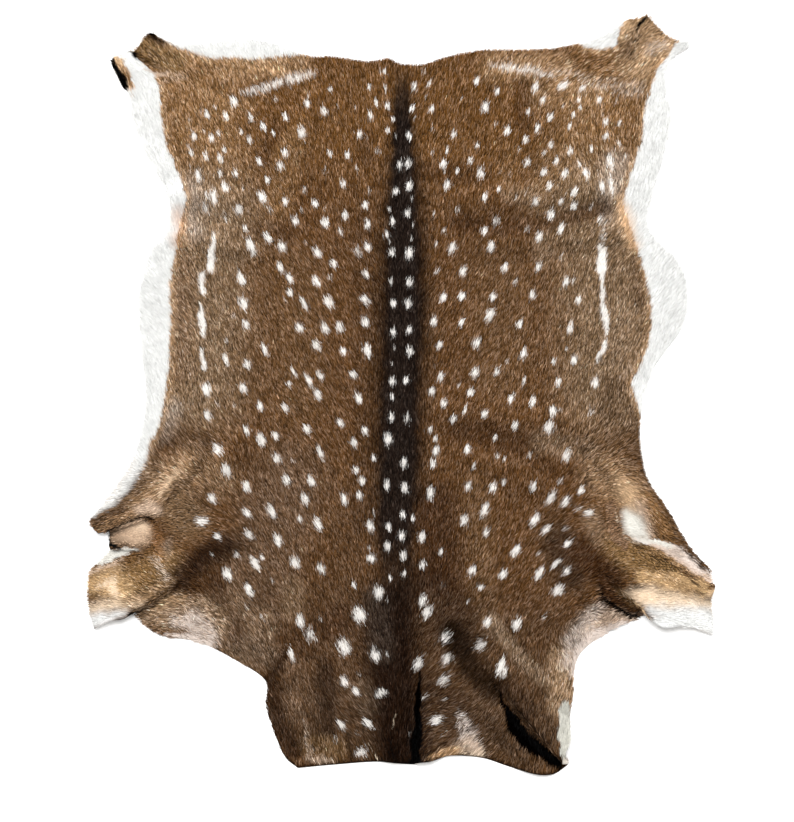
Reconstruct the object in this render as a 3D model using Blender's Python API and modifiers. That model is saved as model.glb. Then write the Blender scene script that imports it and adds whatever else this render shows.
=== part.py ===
"""Deerskin rug: one tanned axis-deer hide, lying flat with its fur side up.

The hide is one sheet. Its outline is a closed curve through a few named stretches, the sheet inside it is
meshed, and then it is laid: low swells lift it off the floor, tucks at the legs and at the neck end fold it over
itself, and the ends of the legs curl. Solidify gives the skin its thickness. Lengths are in millimetres until the
mesh is made. +Y runs along the spine, from the neck end to the tail end, and Z is up.
"""

import math

import bmesh
import bpy
from mathutils import Vector
from mathutils.geometry import delaunay_2d_cdt

MM = 0.001

# Driving dimensions of the hide as it lies
HIDE_LENGTH = 1065.0
HIDE_WIDTH = 877.0
SHEET_THICKNESS = 4.0

# How finely the sheet is meshed
CELL = 19.5
RIM_STEP = 13.0
RIM_STEP_AT_TUCK = 4.0
TUCK_STEP = 11.0
TUCK_ROWS = (-1.0, -0.72, -0.5, -0.36, -0.23, -0.1, 0.03, 0.16, 0.29, 0.42, 0.58, 0.78, 1.0)
CURVE_STEPS = 12

# The outline, clockwise from the tail end's left corner. Each stretch is one smooth curve through its points,
# and a corner lies where one stretch ends and the next begins.
OUTLINE = {
    "left hind stub": [(-383, 421), (-392, 429), (-398, 443), (-407, 463), (-403, 472), (-384, 477), (-368, 487)],
    "stub flap": [(-368, 487), (-352, 506), (-335, 497), (-322, 491)],
    "tail edge left": [(-322, 491), (-280, 491), (-220, 498), (-180, 492), (-130, 473), (-100, 473), (-45, 466),
                       (-19, 471)],
    "tail notch": [(-19, 471), (-4, 463), (30, 462), (65, 473), (110, 482)],
    "tail edge right": [(110, 482), (200, 483), (240, 489), (282, 503), (304, 518), (316, 524), (342, 533)],
    "right hind stub": [(342, 533), (355, 516), (383, 495), (400, 494), (400, 485), (381, 472), (366, 450)],
    "right flank": [(366, 450), (370, 420), (377, 390), (371, 348), (349, 271), (342, 239), (358, 215),
                    (381, 193), (395, 166), (399, 127), (388, 86), (365, 54), (349, 27), (334, -30), (332, -58)],
    "right leg front": [(332, -58), (341, -113), (370, -158), (404, -214), (433, -245), (438, -257), (433, -268)],
    "right leg end": [(433, -268), (431, -288), (436, -317), (434, -338)],
    "right leg back": [(434, -338), (405, -326), (370, -317), (349, -314)],
    "right neck side": [(349, -314), (315, -320), (284, -336), (251, -363), (241, -393), (239, -420), (235, -441),
                        (234, -485), (230, -519)],
    "neck edge right": [(230, -519), (220, -530), (195, -533), (150, -522), (113, -510), (71, -506), (40, -513),
                        (10, -519)],
    "neck edge left": [(10, -519), (-30, -515), (-92, -519), (-146, -524)],
    "left neck side": [(-146, -524), (-164, -509), (-179, -475), (-190, -434), (-190, -404), (-228, -376),
                       (-284, -348), (-328, -340), (-353, -328), (-377, -307)],
    "left leg back": [(-377, -307), (-405, -309), (-432, -323)],
    "left leg end": [(-432, -323), (-439, -288), (-438, -247)],
    "left leg cuff": [(-438, -247), (-426, -234), (-405, -216)],
    "left leg pouch": [(-405, -216), (-410, -207), (-410, -195)],
    "left leg front": [(-410, -195), (-424, -190), (-436, -178), (-425, -162), (-400, -127), (-378, -92),
                       (-364, -50), (-358, -5), (-363, 50), (-369, 120), (-366, 150), (-350, 203), (-330, 224),
                       (-324, 258), (-333, 288), (-360, 340), (-378, 390), (-383, 421)],
}

# Tucks, where the sheet doubles back under itself: the tuck's end at the rim, its end inland, the side that lies
# on top (seen from the rim, looking inland), half the width it takes up, how high the upper layer rides, how far
# it reaches over, and how far back it rises.
TUCKS = [
    {"name": "front crease, left leg", "rim": (-410, -189), "inland": (-318, -165), "upper": "left",
     "half": 12, "height": 17, "reach": 6, "rise": 46},
    {"name": "cuff under pouch, left leg", "rim": (-412, -214), "inland": (-345, -219), "upper": "left",
     "half": 10, "height": 12, "reach": 5, "rise": 16},
    {"name": "back crease, left leg", "rim": (-384, -308), "inland": (-262, -236), "upper": "left",
     "half": 20, "height": 20, "reach": 9, "rise": 52},
    {"name": "front crease, right leg", "rim": (440, -272), "inland": (296, -172), "upper": "left",
     "half": 18, "height": 19, "reach": 9.5, "rise": 48},
    {"name": "back pocket, right leg", "rim": (352, -313), "inland": (252, -228), "upper": "right",
     "half": 21, "height": 26, "reach": 11.5, "rise": 66},
    {"name": "neck wedge", "rim": (232, -518), "inland": (112, -388), "upper": "right",
     "half": 20, "height": 25, "reach": 11, "rise": 62},
    {"name": "neck slit", "rim": (20, -522), "inland": (27, -372), "upper": "right",
     "half": 17, "height": 19, "reach": 9, "rise": 50},
    {"name": "left hind stub", "rim": (-382, 482), "inland": (-318, 444), "upper": "left",
     "half": 15, "height": 15, "reach": 8, "rise": 40},
    {"name": "right hind stub", "rim": (347, 538), "inland": (305, 466), "upper": "left",
     "half": 14, "height": 15, "reach": 5, "rise": 36},
]

# Swells, where the sheet stands off the floor in a low ridge: from, to, half its width, its height
SWELLS = [
    {"name": "left tail diagonal", "start": (-120, 402), "end": (-172, 322), "half": 30, "height": 5},
    {"name": "right tail fold", "start": (196, 452), "end": (190, 330), "half": 32, "height": 5},
    {"name": "right loin, above", "start": (90, 262), "end": (288, 288), "half": 34, "height": 7},
    {"name": "right loin, below", "start": (110, 205), "end": (300, 226), "half": 34, "height": 6},
    {"name": "left loin, above", "start": (-306, 274), "end": (-236, 262), "half": 28, "height": 6},
    {"name": "left loin, below", "start": (-310, 212), "end": (-226, 206), "half": 30, "height": 6},
    {"name": "right rib, above", "start": (60, -24), "end": (250, -52), "half": 36, "height": 7},
    {"name": "right rib, to leg", "start": (250, -52), "end": (322, -112), "half": 34, "height": 9},
    {"name": "right rib, below", "start": (96, -96), "end": (226, -142), "half": 34, "height": 6},
    {"name": "right leg ridge", "start": (282, -98), "end": (352, -168), "half": 26, "height": 10},
    {"name": "left shoulder", "start": (-292, -96), "end": (-345, -142), "half": 28, "height": 10},
    {"name": "left shoulder, inner", "start": (-228, -72), "end": (-302, -158), "half": 30, "height": 6},
    {"name": "left chest", "start": (-318, -276), "end": (-226, -196), "half": 34, "height": 8},
    {"name": "neck ripple, right", "start": (106, -130), "end": (112, -330), "half": 34, "height": 7},
    {"name": "neck ripple, mid right", "start": (52, -190), "end": (60, -390), "half": 26, "height": 4},
    {"name": "neck ripple, left", "start": (-62, -170), "end": (-56, -430), "half": 32, "height": 5},
    {"name": "neck ripple, far left", "start": (-128, -220), "end": (-130, -480), "half": 30, "height": 6},
    {"name": "neck corner, left", "start": (-196, -330), "end": (-158, -396), "half": 28, "height": 6},
    {"name": "neck corner, right", "start": (150, -320), "end": (226, -440), "half": 34, "height": 8},
    {"name": "neck wedge, far side", "start": (196, -536), "end": (128, -452), "half": 26, "height": 9},
    {"name": "neck slit, far side", "start": (-14, -520), "end": (-6, -420), "half": 24, "height": 7},
    {"name": "right pocket, far side", "start": (310, -332), "end": (262, -286), "half": 22, "height": 8},
    {"name": "spine", "start": (0, 380), "end": (4, 180), "half": 30, "height": 3},
]

# Curls, where the rim lifts off the floor: centre, radius, height
CURLS = [
    {"name": "left stub flap", "at": (-404, 448), "radius": 34, "height": 12},
    {"name": "left stub tip", "at": (-350, 506), "radius": 36, "height": 7},
    {"name": "right stub tip", "at": (344, 532), "radius": 36, "height": 8},
    {"name": "right stub corner", "at": (398, 490), "radius": 34, "height": 5},
    {"name": "left leg end", "at": (-438, -268), "radius": 40, "height": 8},
    {"name": "left leg tip", "at": (-436, -178), "radius": 32, "height": 6},
    {"name": "right leg end", "at": (436, -300), "radius": 40, "height": 6},
    {"name": "right neck edge", "at": (238, -470), "radius": 42, "height": 8},
    {"name": "neck middle", "at": (72, -506), "radius": 46, "height": 5},
]


def smoothstep(value):
    """0 below 0, 1 above 1, and smooth between."""
    value = min(max(value, 0.0), 1.0)
    return value * value * (3.0 - 2.0 * value)


def curve_through(points):
    """A smooth curve through the points of one stretch, as short chords."""
    ends = [points[0], *points, points[-1]]
    chords = []
    for before, a, b, after in zip(ends, ends[1:], ends[2:], ends[3:]):
        leave = ((b - before) * 0.5).normalized() if b != before else b - a
        arrive = ((after - a) * 0.5).normalized() if after != a else b - a
        pull = (b - a).length / 3.0
        handles = a, a + leave * pull, b - arrive * pull, b
        for step in range(CURVE_STEPS):
            t = step / CURVE_STEPS
            weights = (1 - t) ** 3, 3 * t * (1 - t) ** 2, 3 * t * t * (1 - t), t ** 3
            chords.append(sum((w * h for w, h in zip(weights, handles)), Vector((0.0, 0.0))))
    return chords


def outline_curve():
    """The whole outline as a closed run of short chords."""
    curve = []
    for stretch in OUTLINE.values():
        curve += curve_through([Vector(point) for point in stretch])
    return curve


def tuck_place(tuck, point):
    """Where a point lies on a tuck: along it (0 at the rim, 1 inland) and across it, plus towards its lower layer."""
    rim = Vector(tuck["rim"])
    run = Vector(tuck["inland"]) - rim
    along = (point - rim).dot(run) / run.length_squared
    left = Vector((-run.y, run.x)).normalized()
    lower = left * (-1.0 if tuck["upper"] == "left" else 1.0)
    return along, (point - rim).dot(lower), lower


def in_tuck(tuck, point, margin):
    """Whether a point is in the strip that a tuck takes up."""
    along, across, _ = tuck_place(tuck, point)
    length = (Vector(tuck["inland"]) - Vector(tuck["rim"])).length
    return -margin / length - 0.25 < along < 1.0 + margin / length and abs(across) < tuck["half"] + margin


def rim_points():
    """The outline, evenly spaced, and closer together where a tuck reaches it."""
    curve = outline_curve()
    rim = [curve[0]]
    for point in curve[1:]:
        step = RIM_STEP_AT_TUCK if any(in_tuck(tuck, point, 3.0) for tuck in TUCKS) else RIM_STEP
        if (point - rim[-1]).length >= step and (point - rim[0]).length >= 0.6 * step:
            rim.append(point)
    return rim


def inside(rim, point):
    """Whether a point lies inside the outline."""
    found = False
    for a, b in zip(rim, rim[1:] + rim[:1]):
        if (a.y > point.y) != (b.y > point.y):
            if point.x < a.x + (point.y - a.y) * (b.x - a.x) / (b.y - a.y):
                found = not found
    return found


def clear_of(points, point, distance):
    """Whether a point keeps its distance from all the others."""
    return all((other - point).length > distance for other in points)


def inner_points(rim):
    """Points inside the outline: rows along each tuck, and an even net over the rest."""
    rows = []
    for tuck in TUCKS:
        start = Vector(tuck["rim"])
        run = Vector(tuck["inland"]) - start
        across = tuck_place(tuck, start)[2]
        count = round(run.length / TUCK_STEP)
        for step in range(-4, count + 1):
            for row in TUCK_ROWS:
                point = start + run * (step / count) + across * row * tuck["half"]
                if inside(rim, point) and clear_of(rim, point, 2.2) and clear_of(rows, point, 2.2):
                    rows.append(point)
    net = []
    row_height = CELL * math.sqrt(3.0) / 2.0
    for j in range(math.ceil(HIDE_LENGTH / row_height) + 1):
        for i in range(math.ceil(HIDE_WIDTH / CELL) + 2):
            point = Vector((-HIDE_WIDTH / 2 + (i - 0.5 * (j % 2)) * CELL, -HIDE_LENGTH / 2 + j * row_height))
            if any(in_tuck(tuck, point, 0.45 * CELL) for tuck in TUCKS):
                keeps = 0.55 * CELL
            else:
                keeps = 0.0
            if keeps and not clear_of(rows, point, keeps):
                continue
            if inside(rim, point) and clear_of(rim, point, 0.55 * CELL):
                net.append(point)
    return rows + net


def laid(point):
    """Where a point of the flat sheet comes to lie: its place on the floor and its height."""
    shift = Vector((0.0, 0.0))
    height = 0.0
    for swell in SWELLS:
        start = Vector(swell["start"])
        run = Vector(swell["end"]) - start
        along = min(max((point - start).dot(run) / run.length_squared, 0.0), 1.0)
        away = (point - start - run * along).length / swell["half"]
        if away < 1.0:
            height = max(height, swell["height"] * (1.0 - smoothstep(away)))
    for curl in CURLS:
        away = (point - Vector(curl["at"])).length / curl["radius"]
        if away < 1.0:
            height = max(height, curl["height"] * (1.0 - away) ** 2 * (1.0 + 2.0 * away))
    for tuck in TUCKS:
        along, across, lower = tuck_place(tuck, point)
        half = tuck["half"]
        if not -1.0 < along < 1.0 or not -tuck["rise"] < across < half:
            continue
        fades = smoothstep(1.0 - along) if along > 0.0 else smoothstep(1.0 + along)
        rise = smoothstep((across + tuck["rise"]) / (tuck["rise"] - half / 2))
        drop = smoothstep(0.5 - across / half)
        height = max(height, fades * tuck["height"] * rise * drop) if across < -half / 2 else (
            height * (1.0 - fades) + fades * tuck["height"] * drop)
        if abs(across) < half:
            shift -= lower * fades * tuck["reach"] * math.sin(math.pi * across / half)
    return Vector((point.x + shift.x, point.y + shift.y, height + SHEET_THICKNESS / 2))


def leather(name):
    """The plain material of the skin."""
    material = bpy.data.materials.new(name)
    material.use_nodes = True
    shader = material.node_tree.nodes["Principled BSDF"]
    shader.inputs["Base Color"].default_value = (0.16, 0.085, 0.04, 1.0)
    shader.inputs["Roughness"].default_value = 0.75
    shader.inputs["Metallic"].default_value = 0.0
    material.diffuse_color = (0.16, 0.085, 0.04, 1.0)
    return material


def build_hide(collection):
    """The hide: a meshed sheet in its outline, laid, thickened and centred over the origin."""
    rim = rim_points()
    loose = rim + inner_points(rim)
    edges = [(i, (i + 1) % len(rim)) for i in range(len(rim))]
    keep_inside = 1
    points, _, faces, *_ = delaunay_2d_cdt(loose, edges, [], keep_inside, 0.01)
    mesh = bpy.data.meshes.new("hide")
    mesh.from_pydata([laid(point) * MM for point in points], [], faces)
    sheet = bmesh.new()
    sheet.from_mesh(mesh)
    bmesh.ops.recalc_face_normals(sheet, faces=sheet.faces)
    if sum(face.normal.z * face.calc_area() for face in sheet.faces) < 0.0:
        bmesh.ops.reverse_faces(sheet, faces=sheet.faces)
    xs = [vert.co.x for vert in sheet.verts]
    ys = [vert.co.y for vert in sheet.verts]
    middle = Vector((min(xs) + max(xs), min(ys) + max(ys), 0.0)) / 2
    bmesh.ops.translate(sheet, verts=sheet.verts, vec=-middle)
    sheet.to_mesh(mesh)
    sheet.free()
    mesh.materials.append(leather("deerskin"))
    mesh.shade_smooth()
    mesh.set_sharp_from_angle(angle=math.radians(50.0))
    hide = bpy.data.objects.new("hide", mesh)
    collection.objects.link(hide)
    skin = hide.modifiers.new("skin", "SOLIDIFY")
    skin.thickness = SHEET_THICKNESS * MM
    skin.offset = 0.0
    return hide


def main():
    for old in list(bpy.data.objects):
        bpy.data.objects.remove(old, do_unlink=True)
    collection = bpy.data.collections.new("deerskin rug")
    bpy.context.scene.collection.children.link(collection)
    build_hide(collection)


main()
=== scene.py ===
"""Deerskin rug: the skin, its coat and a studio to see them in.

The skin is one thin sheet in the hide's outline. It is laid with low swells, tucks at the legs and the neck
end, and curled ends. The coat is short hair in five pieces from the neck end to the tail end, and each hair
is a narrow blade that leans the way the hair lies there. The tables of the skin are in millimetres and those
of the coat in centimetres. All of them are places seen from above, with +Y along the spine to the tail end.
"""

import math
from collections import namedtuple
from functools import lru_cache

import bpy
import numpy as np
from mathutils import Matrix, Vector
from mathutils.geometry import delaunay_2d_cdt


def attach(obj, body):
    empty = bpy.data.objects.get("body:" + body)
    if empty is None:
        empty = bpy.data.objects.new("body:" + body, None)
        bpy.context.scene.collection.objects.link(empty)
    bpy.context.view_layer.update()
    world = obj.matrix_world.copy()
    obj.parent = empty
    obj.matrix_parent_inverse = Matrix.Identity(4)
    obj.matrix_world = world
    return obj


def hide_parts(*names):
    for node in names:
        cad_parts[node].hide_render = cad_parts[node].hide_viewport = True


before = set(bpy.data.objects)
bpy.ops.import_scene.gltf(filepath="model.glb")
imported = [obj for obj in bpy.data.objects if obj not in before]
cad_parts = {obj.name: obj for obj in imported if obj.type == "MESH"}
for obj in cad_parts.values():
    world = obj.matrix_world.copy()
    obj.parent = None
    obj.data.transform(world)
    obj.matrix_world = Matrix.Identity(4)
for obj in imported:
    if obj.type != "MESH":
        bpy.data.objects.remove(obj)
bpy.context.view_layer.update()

bl_info = {
    "name": "Deerskin Rug",
    "version": (1, 0, 0),
    "blender": (4, 5, 0),
    "location": "3D View > Sidebar > Rug",
    "description": "A spotted deer hide with its hair on, laid flat on a floor",
    "category": "Add Mesh",
}

MM = 0.001
CM = 0.01


def srgb(red, green, blue):
    """A colour given as it looks on a screen, 0 to 255, in the linear values that Blender uses."""
    parts = [part / 255 for part in (red, green, blue)]
    return tuple(part / 12.92 if part <= 0.04045 else ((part + 0.055) / 1.055) ** 2.4 for part in parts)


# The skin's outline, clockwise from the tail end's left corner. Each stretch is one smooth curve through its
# points, and a corner lies where one stretch ends and the next begins.
OUTLINE = {
    "left hind stub": [(-383, 421), (-392, 429), (-398, 443), (-407, 463), (-403, 472), (-384, 477),
                       (-368, 487)],
    "stub flap": [(-368, 487), (-352, 506), (-335, 497), (-322, 491)],
    "tail edge left": [(-322, 491), (-280, 491), (-220, 498), (-180, 492), (-130, 473), (-100, 473),
                       (-45, 466), (-19, 471)],
    "tail notch": [(-19, 471), (-4, 463), (30, 462), (65, 473), (110, 482)],
    "tail edge right": [(110, 482), (200, 483), (240, 489), (282, 503), (304, 518), (316, 524), (342, 533)],
    "right hind stub": [(342, 533), (355, 516), (383, 495), (400, 494), (400, 485), (381, 472), (366, 450)],
    "right flank": [(366, 450), (370, 420), (377, 390), (371, 348), (349, 271), (342, 239), (358, 215),
                    (381, 193), (395, 166), (399, 127), (388, 86), (365, 54), (349, 27), (334, -30),
                    (332, -58)],
    "right leg front": [(332, -58), (341, -113), (370, -158), (404, -214), (433, -245), (438, -257),
                        (433, -268)],
    "right leg end": [(433, -268), (431, -288), (436, -317), (434, -338)],
    "right leg back": [(434, -338), (405, -326), (370, -317), (349, -314)],
    "right neck side": [(349, -314), (315, -320), (284, -336), (251, -363), (241, -393), (239, -420),
                        (235, -441), (234, -485), (230, -519)],
    "neck edge right": [(230, -519), (220, -530), (195, -533), (150, -522), (113, -510), (71, -506),
                        (40, -513), (10, -519)],
    "neck edge left": [(10, -519), (-30, -515), (-92, -519), (-146, -524)],
    "left neck side": [(-146, -524), (-164, -509), (-179, -475), (-190, -434), (-190, -404), (-228, -376),
                       (-284, -348), (-328, -340), (-353, -328), (-377, -307)],
    "left leg back": [(-377, -307), (-405, -309), (-432, -323)],
    "left leg end": [(-432, -323), (-439, -288), (-438, -247)],
    "left leg cuff": [(-438, -247), (-426, -234), (-405, -216)],
    "left leg pouch": [(-405, -216), (-410, -207), (-410, -195)],
    "left leg front": [(-410, -195), (-424, -190), (-436, -178), (-425, -162), (-400, -127), (-378, -92),
                       (-364, -50), (-358, -5), (-363, 50), (-369, 120), (-366, 150), (-350, 203),
                       (-330, 224), (-324, 258), (-333, 288), (-360, 340), (-378, 390), (-383, 421)],
}

# Tucks, where the sheet doubles back under itself. Upper is the side that lies on top, seen from the rim.
Tuck = namedtuple("Tuck", "name rim inland upper half height reach rise")
TUCKS = [
    Tuck("front crease, left leg", (-410, -189), (-318, -165), "left", 12, 17, 6, 46),
    Tuck("cuff under pouch, left leg", (-412, -214), (-345, -219), "left", 10, 12, 5, 16),
    Tuck("back crease, left leg", (-384, -308), (-262, -236), "left", 20, 20, 9, 52),
    Tuck("front crease, right leg", (440, -272), (296, -172), "left", 18, 19, 9.5, 48),
    Tuck("back pocket, right leg", (352, -313), (252, -228), "right", 21, 26, 11.5, 66),
    Tuck("neck wedge", (232, -518), (112, -388), "right", 20, 25, 11, 62),
    Tuck("neck slit", (20, -522), (27, -372), "right", 17, 19, 9, 50),
    Tuck("left hind stub", (-382, 482), (-318, 444), "left", 15, 15, 8, 40),
    Tuck("right hind stub", (347, 538), (305, 466), "left", 14, 15, 5, 36),
]

# Swells, where the sheet stands off the floor in a low ridge
Swell = namedtuple("Swell", "name start end half height")
SWELLS = [
    Swell("left tail diagonal", (-120, 402), (-172, 322), 30, 5),
    Swell("right tail fold", (196, 452), (190, 330), 32, 5),
    Swell("right loin, above", (90, 262), (288, 288), 34, 7),
    Swell("right loin, below", (110, 205), (300, 226), 34, 6),
    Swell("left loin, above", (-306, 274), (-236, 262), 28, 6),
    Swell("left loin, below", (-310, 212), (-226, 206), 30, 6),
    Swell("right rib, above", (60, -24), (250, -52), 36, 7),
    Swell("right rib, to leg", (250, -52), (322, -112), 34, 9),
    Swell("right rib, below", (96, -96), (226, -142), 34, 6),
    Swell("right leg ridge", (282, -98), (352, -168), 26, 10),
    Swell("left shoulder", (-292, -96), (-345, -142), 28, 10),
    Swell("left shoulder, inner", (-228, -72), (-302, -158), 30, 6),
    Swell("left chest", (-318, -276), (-226, -196), 34, 8),
    Swell("neck ripple, right", (106, -130), (112, -330), 34, 7),
    Swell("neck ripple, mid right", (52, -190), (60, -390), 26, 4),
    Swell("neck ripple, left", (-62, -170), (-56, -430), 32, 5),
    Swell("neck ripple, far left", (-128, -220), (-130, -480), 30, 6),
    Swell("neck corner, left", (-196, -330), (-158, -396), 28, 6),
    Swell("neck corner, right", (150, -320), (226, -440), 34, 8),
    Swell("neck wedge, far side", (196, -536), (128, -452), 26, 9),
    Swell("neck slit, far side", (-14, -520), (-6, -420), 24, 7),
    Swell("right pocket, far side", (310, -332), (262, -286), 22, 8),
    Swell("spine", (0, 380), (4, 180), 30, 3),
]

# Curls, where the rim lifts off the floor
Curl = namedtuple("Curl", "name at radius height")
CURLS = [
    Curl("left stub flap", (-404, 448), 34, 12),
    Curl("left stub tip", (-350, 506), 36, 7),
    Curl("right stub tip", (344, 532), 36, 8),
    Curl("right stub corner", (398, 490), 34, 5),
    Curl("left leg end", (-438, -268), 40, 8),
    Curl("left leg tip", (-436, -178), 32, 6),
    Curl("right leg end", (436, -300), 40, 6),
    Curl("right neck edge", (238, -470), 42, 8),
    Curl("neck middle", (72, -506), 46, 5),
]

# How finely the skin is meshed: the steps along its rim, the least gap where the rim closes and between two
# of its points, the steps and rows of points along each tuck, how many steps they run out past the rim, and
# the chords between two points of the outline
RIM_STEP = 5.0
CLOSING_GAP = 0.6 * RIM_STEP
LEAST_GAP = 0.25 * RIM_STEP
TUCK_STEP = 6.0
TUCK_ROWS = [row / 12 for row in range(-12, 13)]
TUCK_OVERRUN = 6
CURVE_STEPS = 12
# The net keeps this far from the rim, and this much of its own step from a tuck's ends and sides
RIM_CLEAR = 2.0
END_CLEAR = 0.5
SIDE_CLEAR = 0.4
# Points nearer than this are one
SAME_POINT = 0.01
# The grid of distances from the outline: its step, and how far it goes on beyond the outline
FIELD_STEP = 2.0
FIELD_BORDER = 30.0
# The flesh side's part of the texture map lies this far beside the hair side's, with a bare edge round both
FLESH_SIDE_AT = (1000.0, 0.0)
MAP_EDGE = 0.01

# Which way the hair lies: a place, and its heading in degrees clockwise from the tail end. The softness, in
# square centimetres, keeps one place from ruling the hair round it.
LIE_SOFTNESS = 2.0
LIE = [
    (-5, 40, -8), (-15, 40, -18), (-27, 40, -15), (-30, 46, -35), (-35, 48, -48), (-36, 40, -20),
    (-34, 30, -25), (-10, 30, -7), (-20, 28, -18), (-28, 28, -8), (-10, 15, -28), (-20, 18, -25),
    (-27, 18, -10), (-31, 15, -30), (-34.5, 13, -45), (-20, 5, -22), (-27, 3, -12), (-31, 0, -12),
    (-35, 0, -25), (-10, 0, -28), (-22, -8, -15), (-26, -8, -45), (-24.5, -10.5, -20), (-26.6, -14.2, -38),
    (-24.3, -25, -25), (-32, -7, -35), (-30, -12, -60), (-34, -15, -115), (-41, -17.5, -110),
    (-37, -19, -100), (-27.9, -17.6, -85), (-38, -26, -70), (-42, -28, -80), (-33, -24, -65),
    (-33, -31, -90), (-29, -32, -60), (-22, -34, -30), (-15, -20, -22), (-5, -20, -12), (-15, -35, -15),
    (-8, -36, -25), (-5, -45, -45), (-12, -48, -10), (0, -45, 0), (0, 30, 0), (0, 0, 0), (0, -20, 0),
    (5, 40, 15), (15, 40, 15), (27, 40, 10), (28.8, 33, -10), (33, 48, 40), (36, 49, 55), (24, 46, 50),
    (28, 47, 60), (36, 40, 10), (35, 30, 10), (10, 30, 12), (20, 28, 22), (10, 15, 25), (18, 15, 20),
    (26, 15, 12), (32, 22, 35), (37, 14, 35), (32, 10, 20), (10, 0, 22), (20, 0, 12), (27, 0, 8),
    (31, 0, 12), (23, -8, 22), (18, -12, 12), (28, -10, 55), (33, -13, 120), (24.2, -14, 32), (36, -17, 130),
    (40, -21, 130), (26.2, -16.4, 80), (38, -21.5, 110), (36, -24, 115), (38, -28, 95), (41, -31, 100),
    (30, -27, 80), (26, -21, 40), (28, -31, 60), (24, -36, -20), (22, -40, 10), (15, -35, 15), (8, -36, 45),
    (5, -45, 72), (10, -48, 45), (18, -48, 10), (20, -30, 35), (14, -25, 25), (5, -22, 12),
]

# Where the hair is longer or shorter than on the back: a run, half its width, and the length's factor
Growth = namedtuple("Growth", "name run half factor")
GROWTHS = [
    Growth("left belly", [(-37, 44), (-33, 26), (-37, 10), (-36, -8)], 4, 1.2),
    Growth("right belly", [(37, 44), (34, 26), (39, 13), (36, 4)], 4, 1.2),
    Growth("neck", [(-14, -46), (22, -46)], 14, 1.25),
    Growth("left leg", [(-32, -18), (-44, -26)], 9, 0.55),
    Growth("left pouch", [(-39, -19.6), (-35.6, -18.8)], 3.2, 0.4),
    Growth("right leg", [(30, -16), (44, -30)], 9, 0.55),
    Growth("left hind stub", [(-36, 49), (-40, 44)], 4, 0.7),
    Growth("right hind stub", [(33, 51), (38, 48)], 4, 0.75),
]

# Where the hair is ruffled or curly: a place, its radius, and how far it strays, in degrees
Ruffle = namedtuple("Ruffle", "name at radius stray")
RUFFLES = [
    Ruffle("left armpit", (-29, -32.5), 5, 60),
    Ruffle("right armpit", (26.5, -33), 6, 60),
    Ruffle("left pouch", (-34, -22), 3.5, 45),
    Ruffle("right leg curl", (39.6, -21.8), 2, 60),
    Ruffle("left stub", (-33, 44), 2, 45),
    Ruffle("neck swirl", (6, -46), 5, 30),
    Ruffle("left chest", (-16.5, -37), 3, 40),
]

# Colours of the coat, and of the light and shade painted on it, that a user wouldn't change, as they
# look from above
SHADES = {
    "golden": srgb(111, 79, 44),
    "mid gold": srgb(138, 112, 81),
    "pale tan": srgb(190, 155, 120),
    "tan brown": srgb(140, 109, 78),
    "mid brown": srgb(112, 86, 62),
    "grey brown": srgb(130, 109, 91),
    "rosy brown": srgb(138, 112, 95),
    "taupe": srgb(150, 128, 111),
    "dusk brown": srgb(107, 85, 70),
    "dun": srgb(106, 88, 76),
    "umber": srgb(85, 65, 50),
    "dark brown": srgb(72, 48, 29),
    "deep brown": srgb(50, 33, 23),
    "black brown": srgb(38, 24, 17),
    # The black of painted shadow, deep in the tucks, slits and creases
    "shadow black": srgb(2, 1, 1),
    "slate": srgb(78, 68, 66),
    "halo": srgb(36, 24, 17),
    "rust": srgb(196, 146, 106),
    "sand": srgb(184, 152, 122),
    "light tan": srgb(178, 149, 121),
    "peach": srgb(226, 186, 146),
    "wheat": srgb(202, 169, 128),
    "buff": srgb(214, 182, 146),
    "pouch": srgb(198, 171, 148),
    "rose": srgb(207, 182, 161),
    "ash": srgb(196, 180, 168),
    "cream": srgb(238, 216, 190),
    "pink ash": srgb(222, 208, 200),
    "flesh": srgb(200, 198, 190),
    "cuff": srgb(222, 219, 213),
}
# How much of its colour a dark hair and a pale one have, against what the coat shows with its light tips
DARK_SHARE = (1.0, 0.88, 0.66)
PALE_SHARE = (0.90, 0.90, 0.88)
# A colour begins to count as pale at this mean brightness, and is wholly pale this much above it
PALE_FROM = 0.14
PALE_RANGE = 0.4
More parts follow.
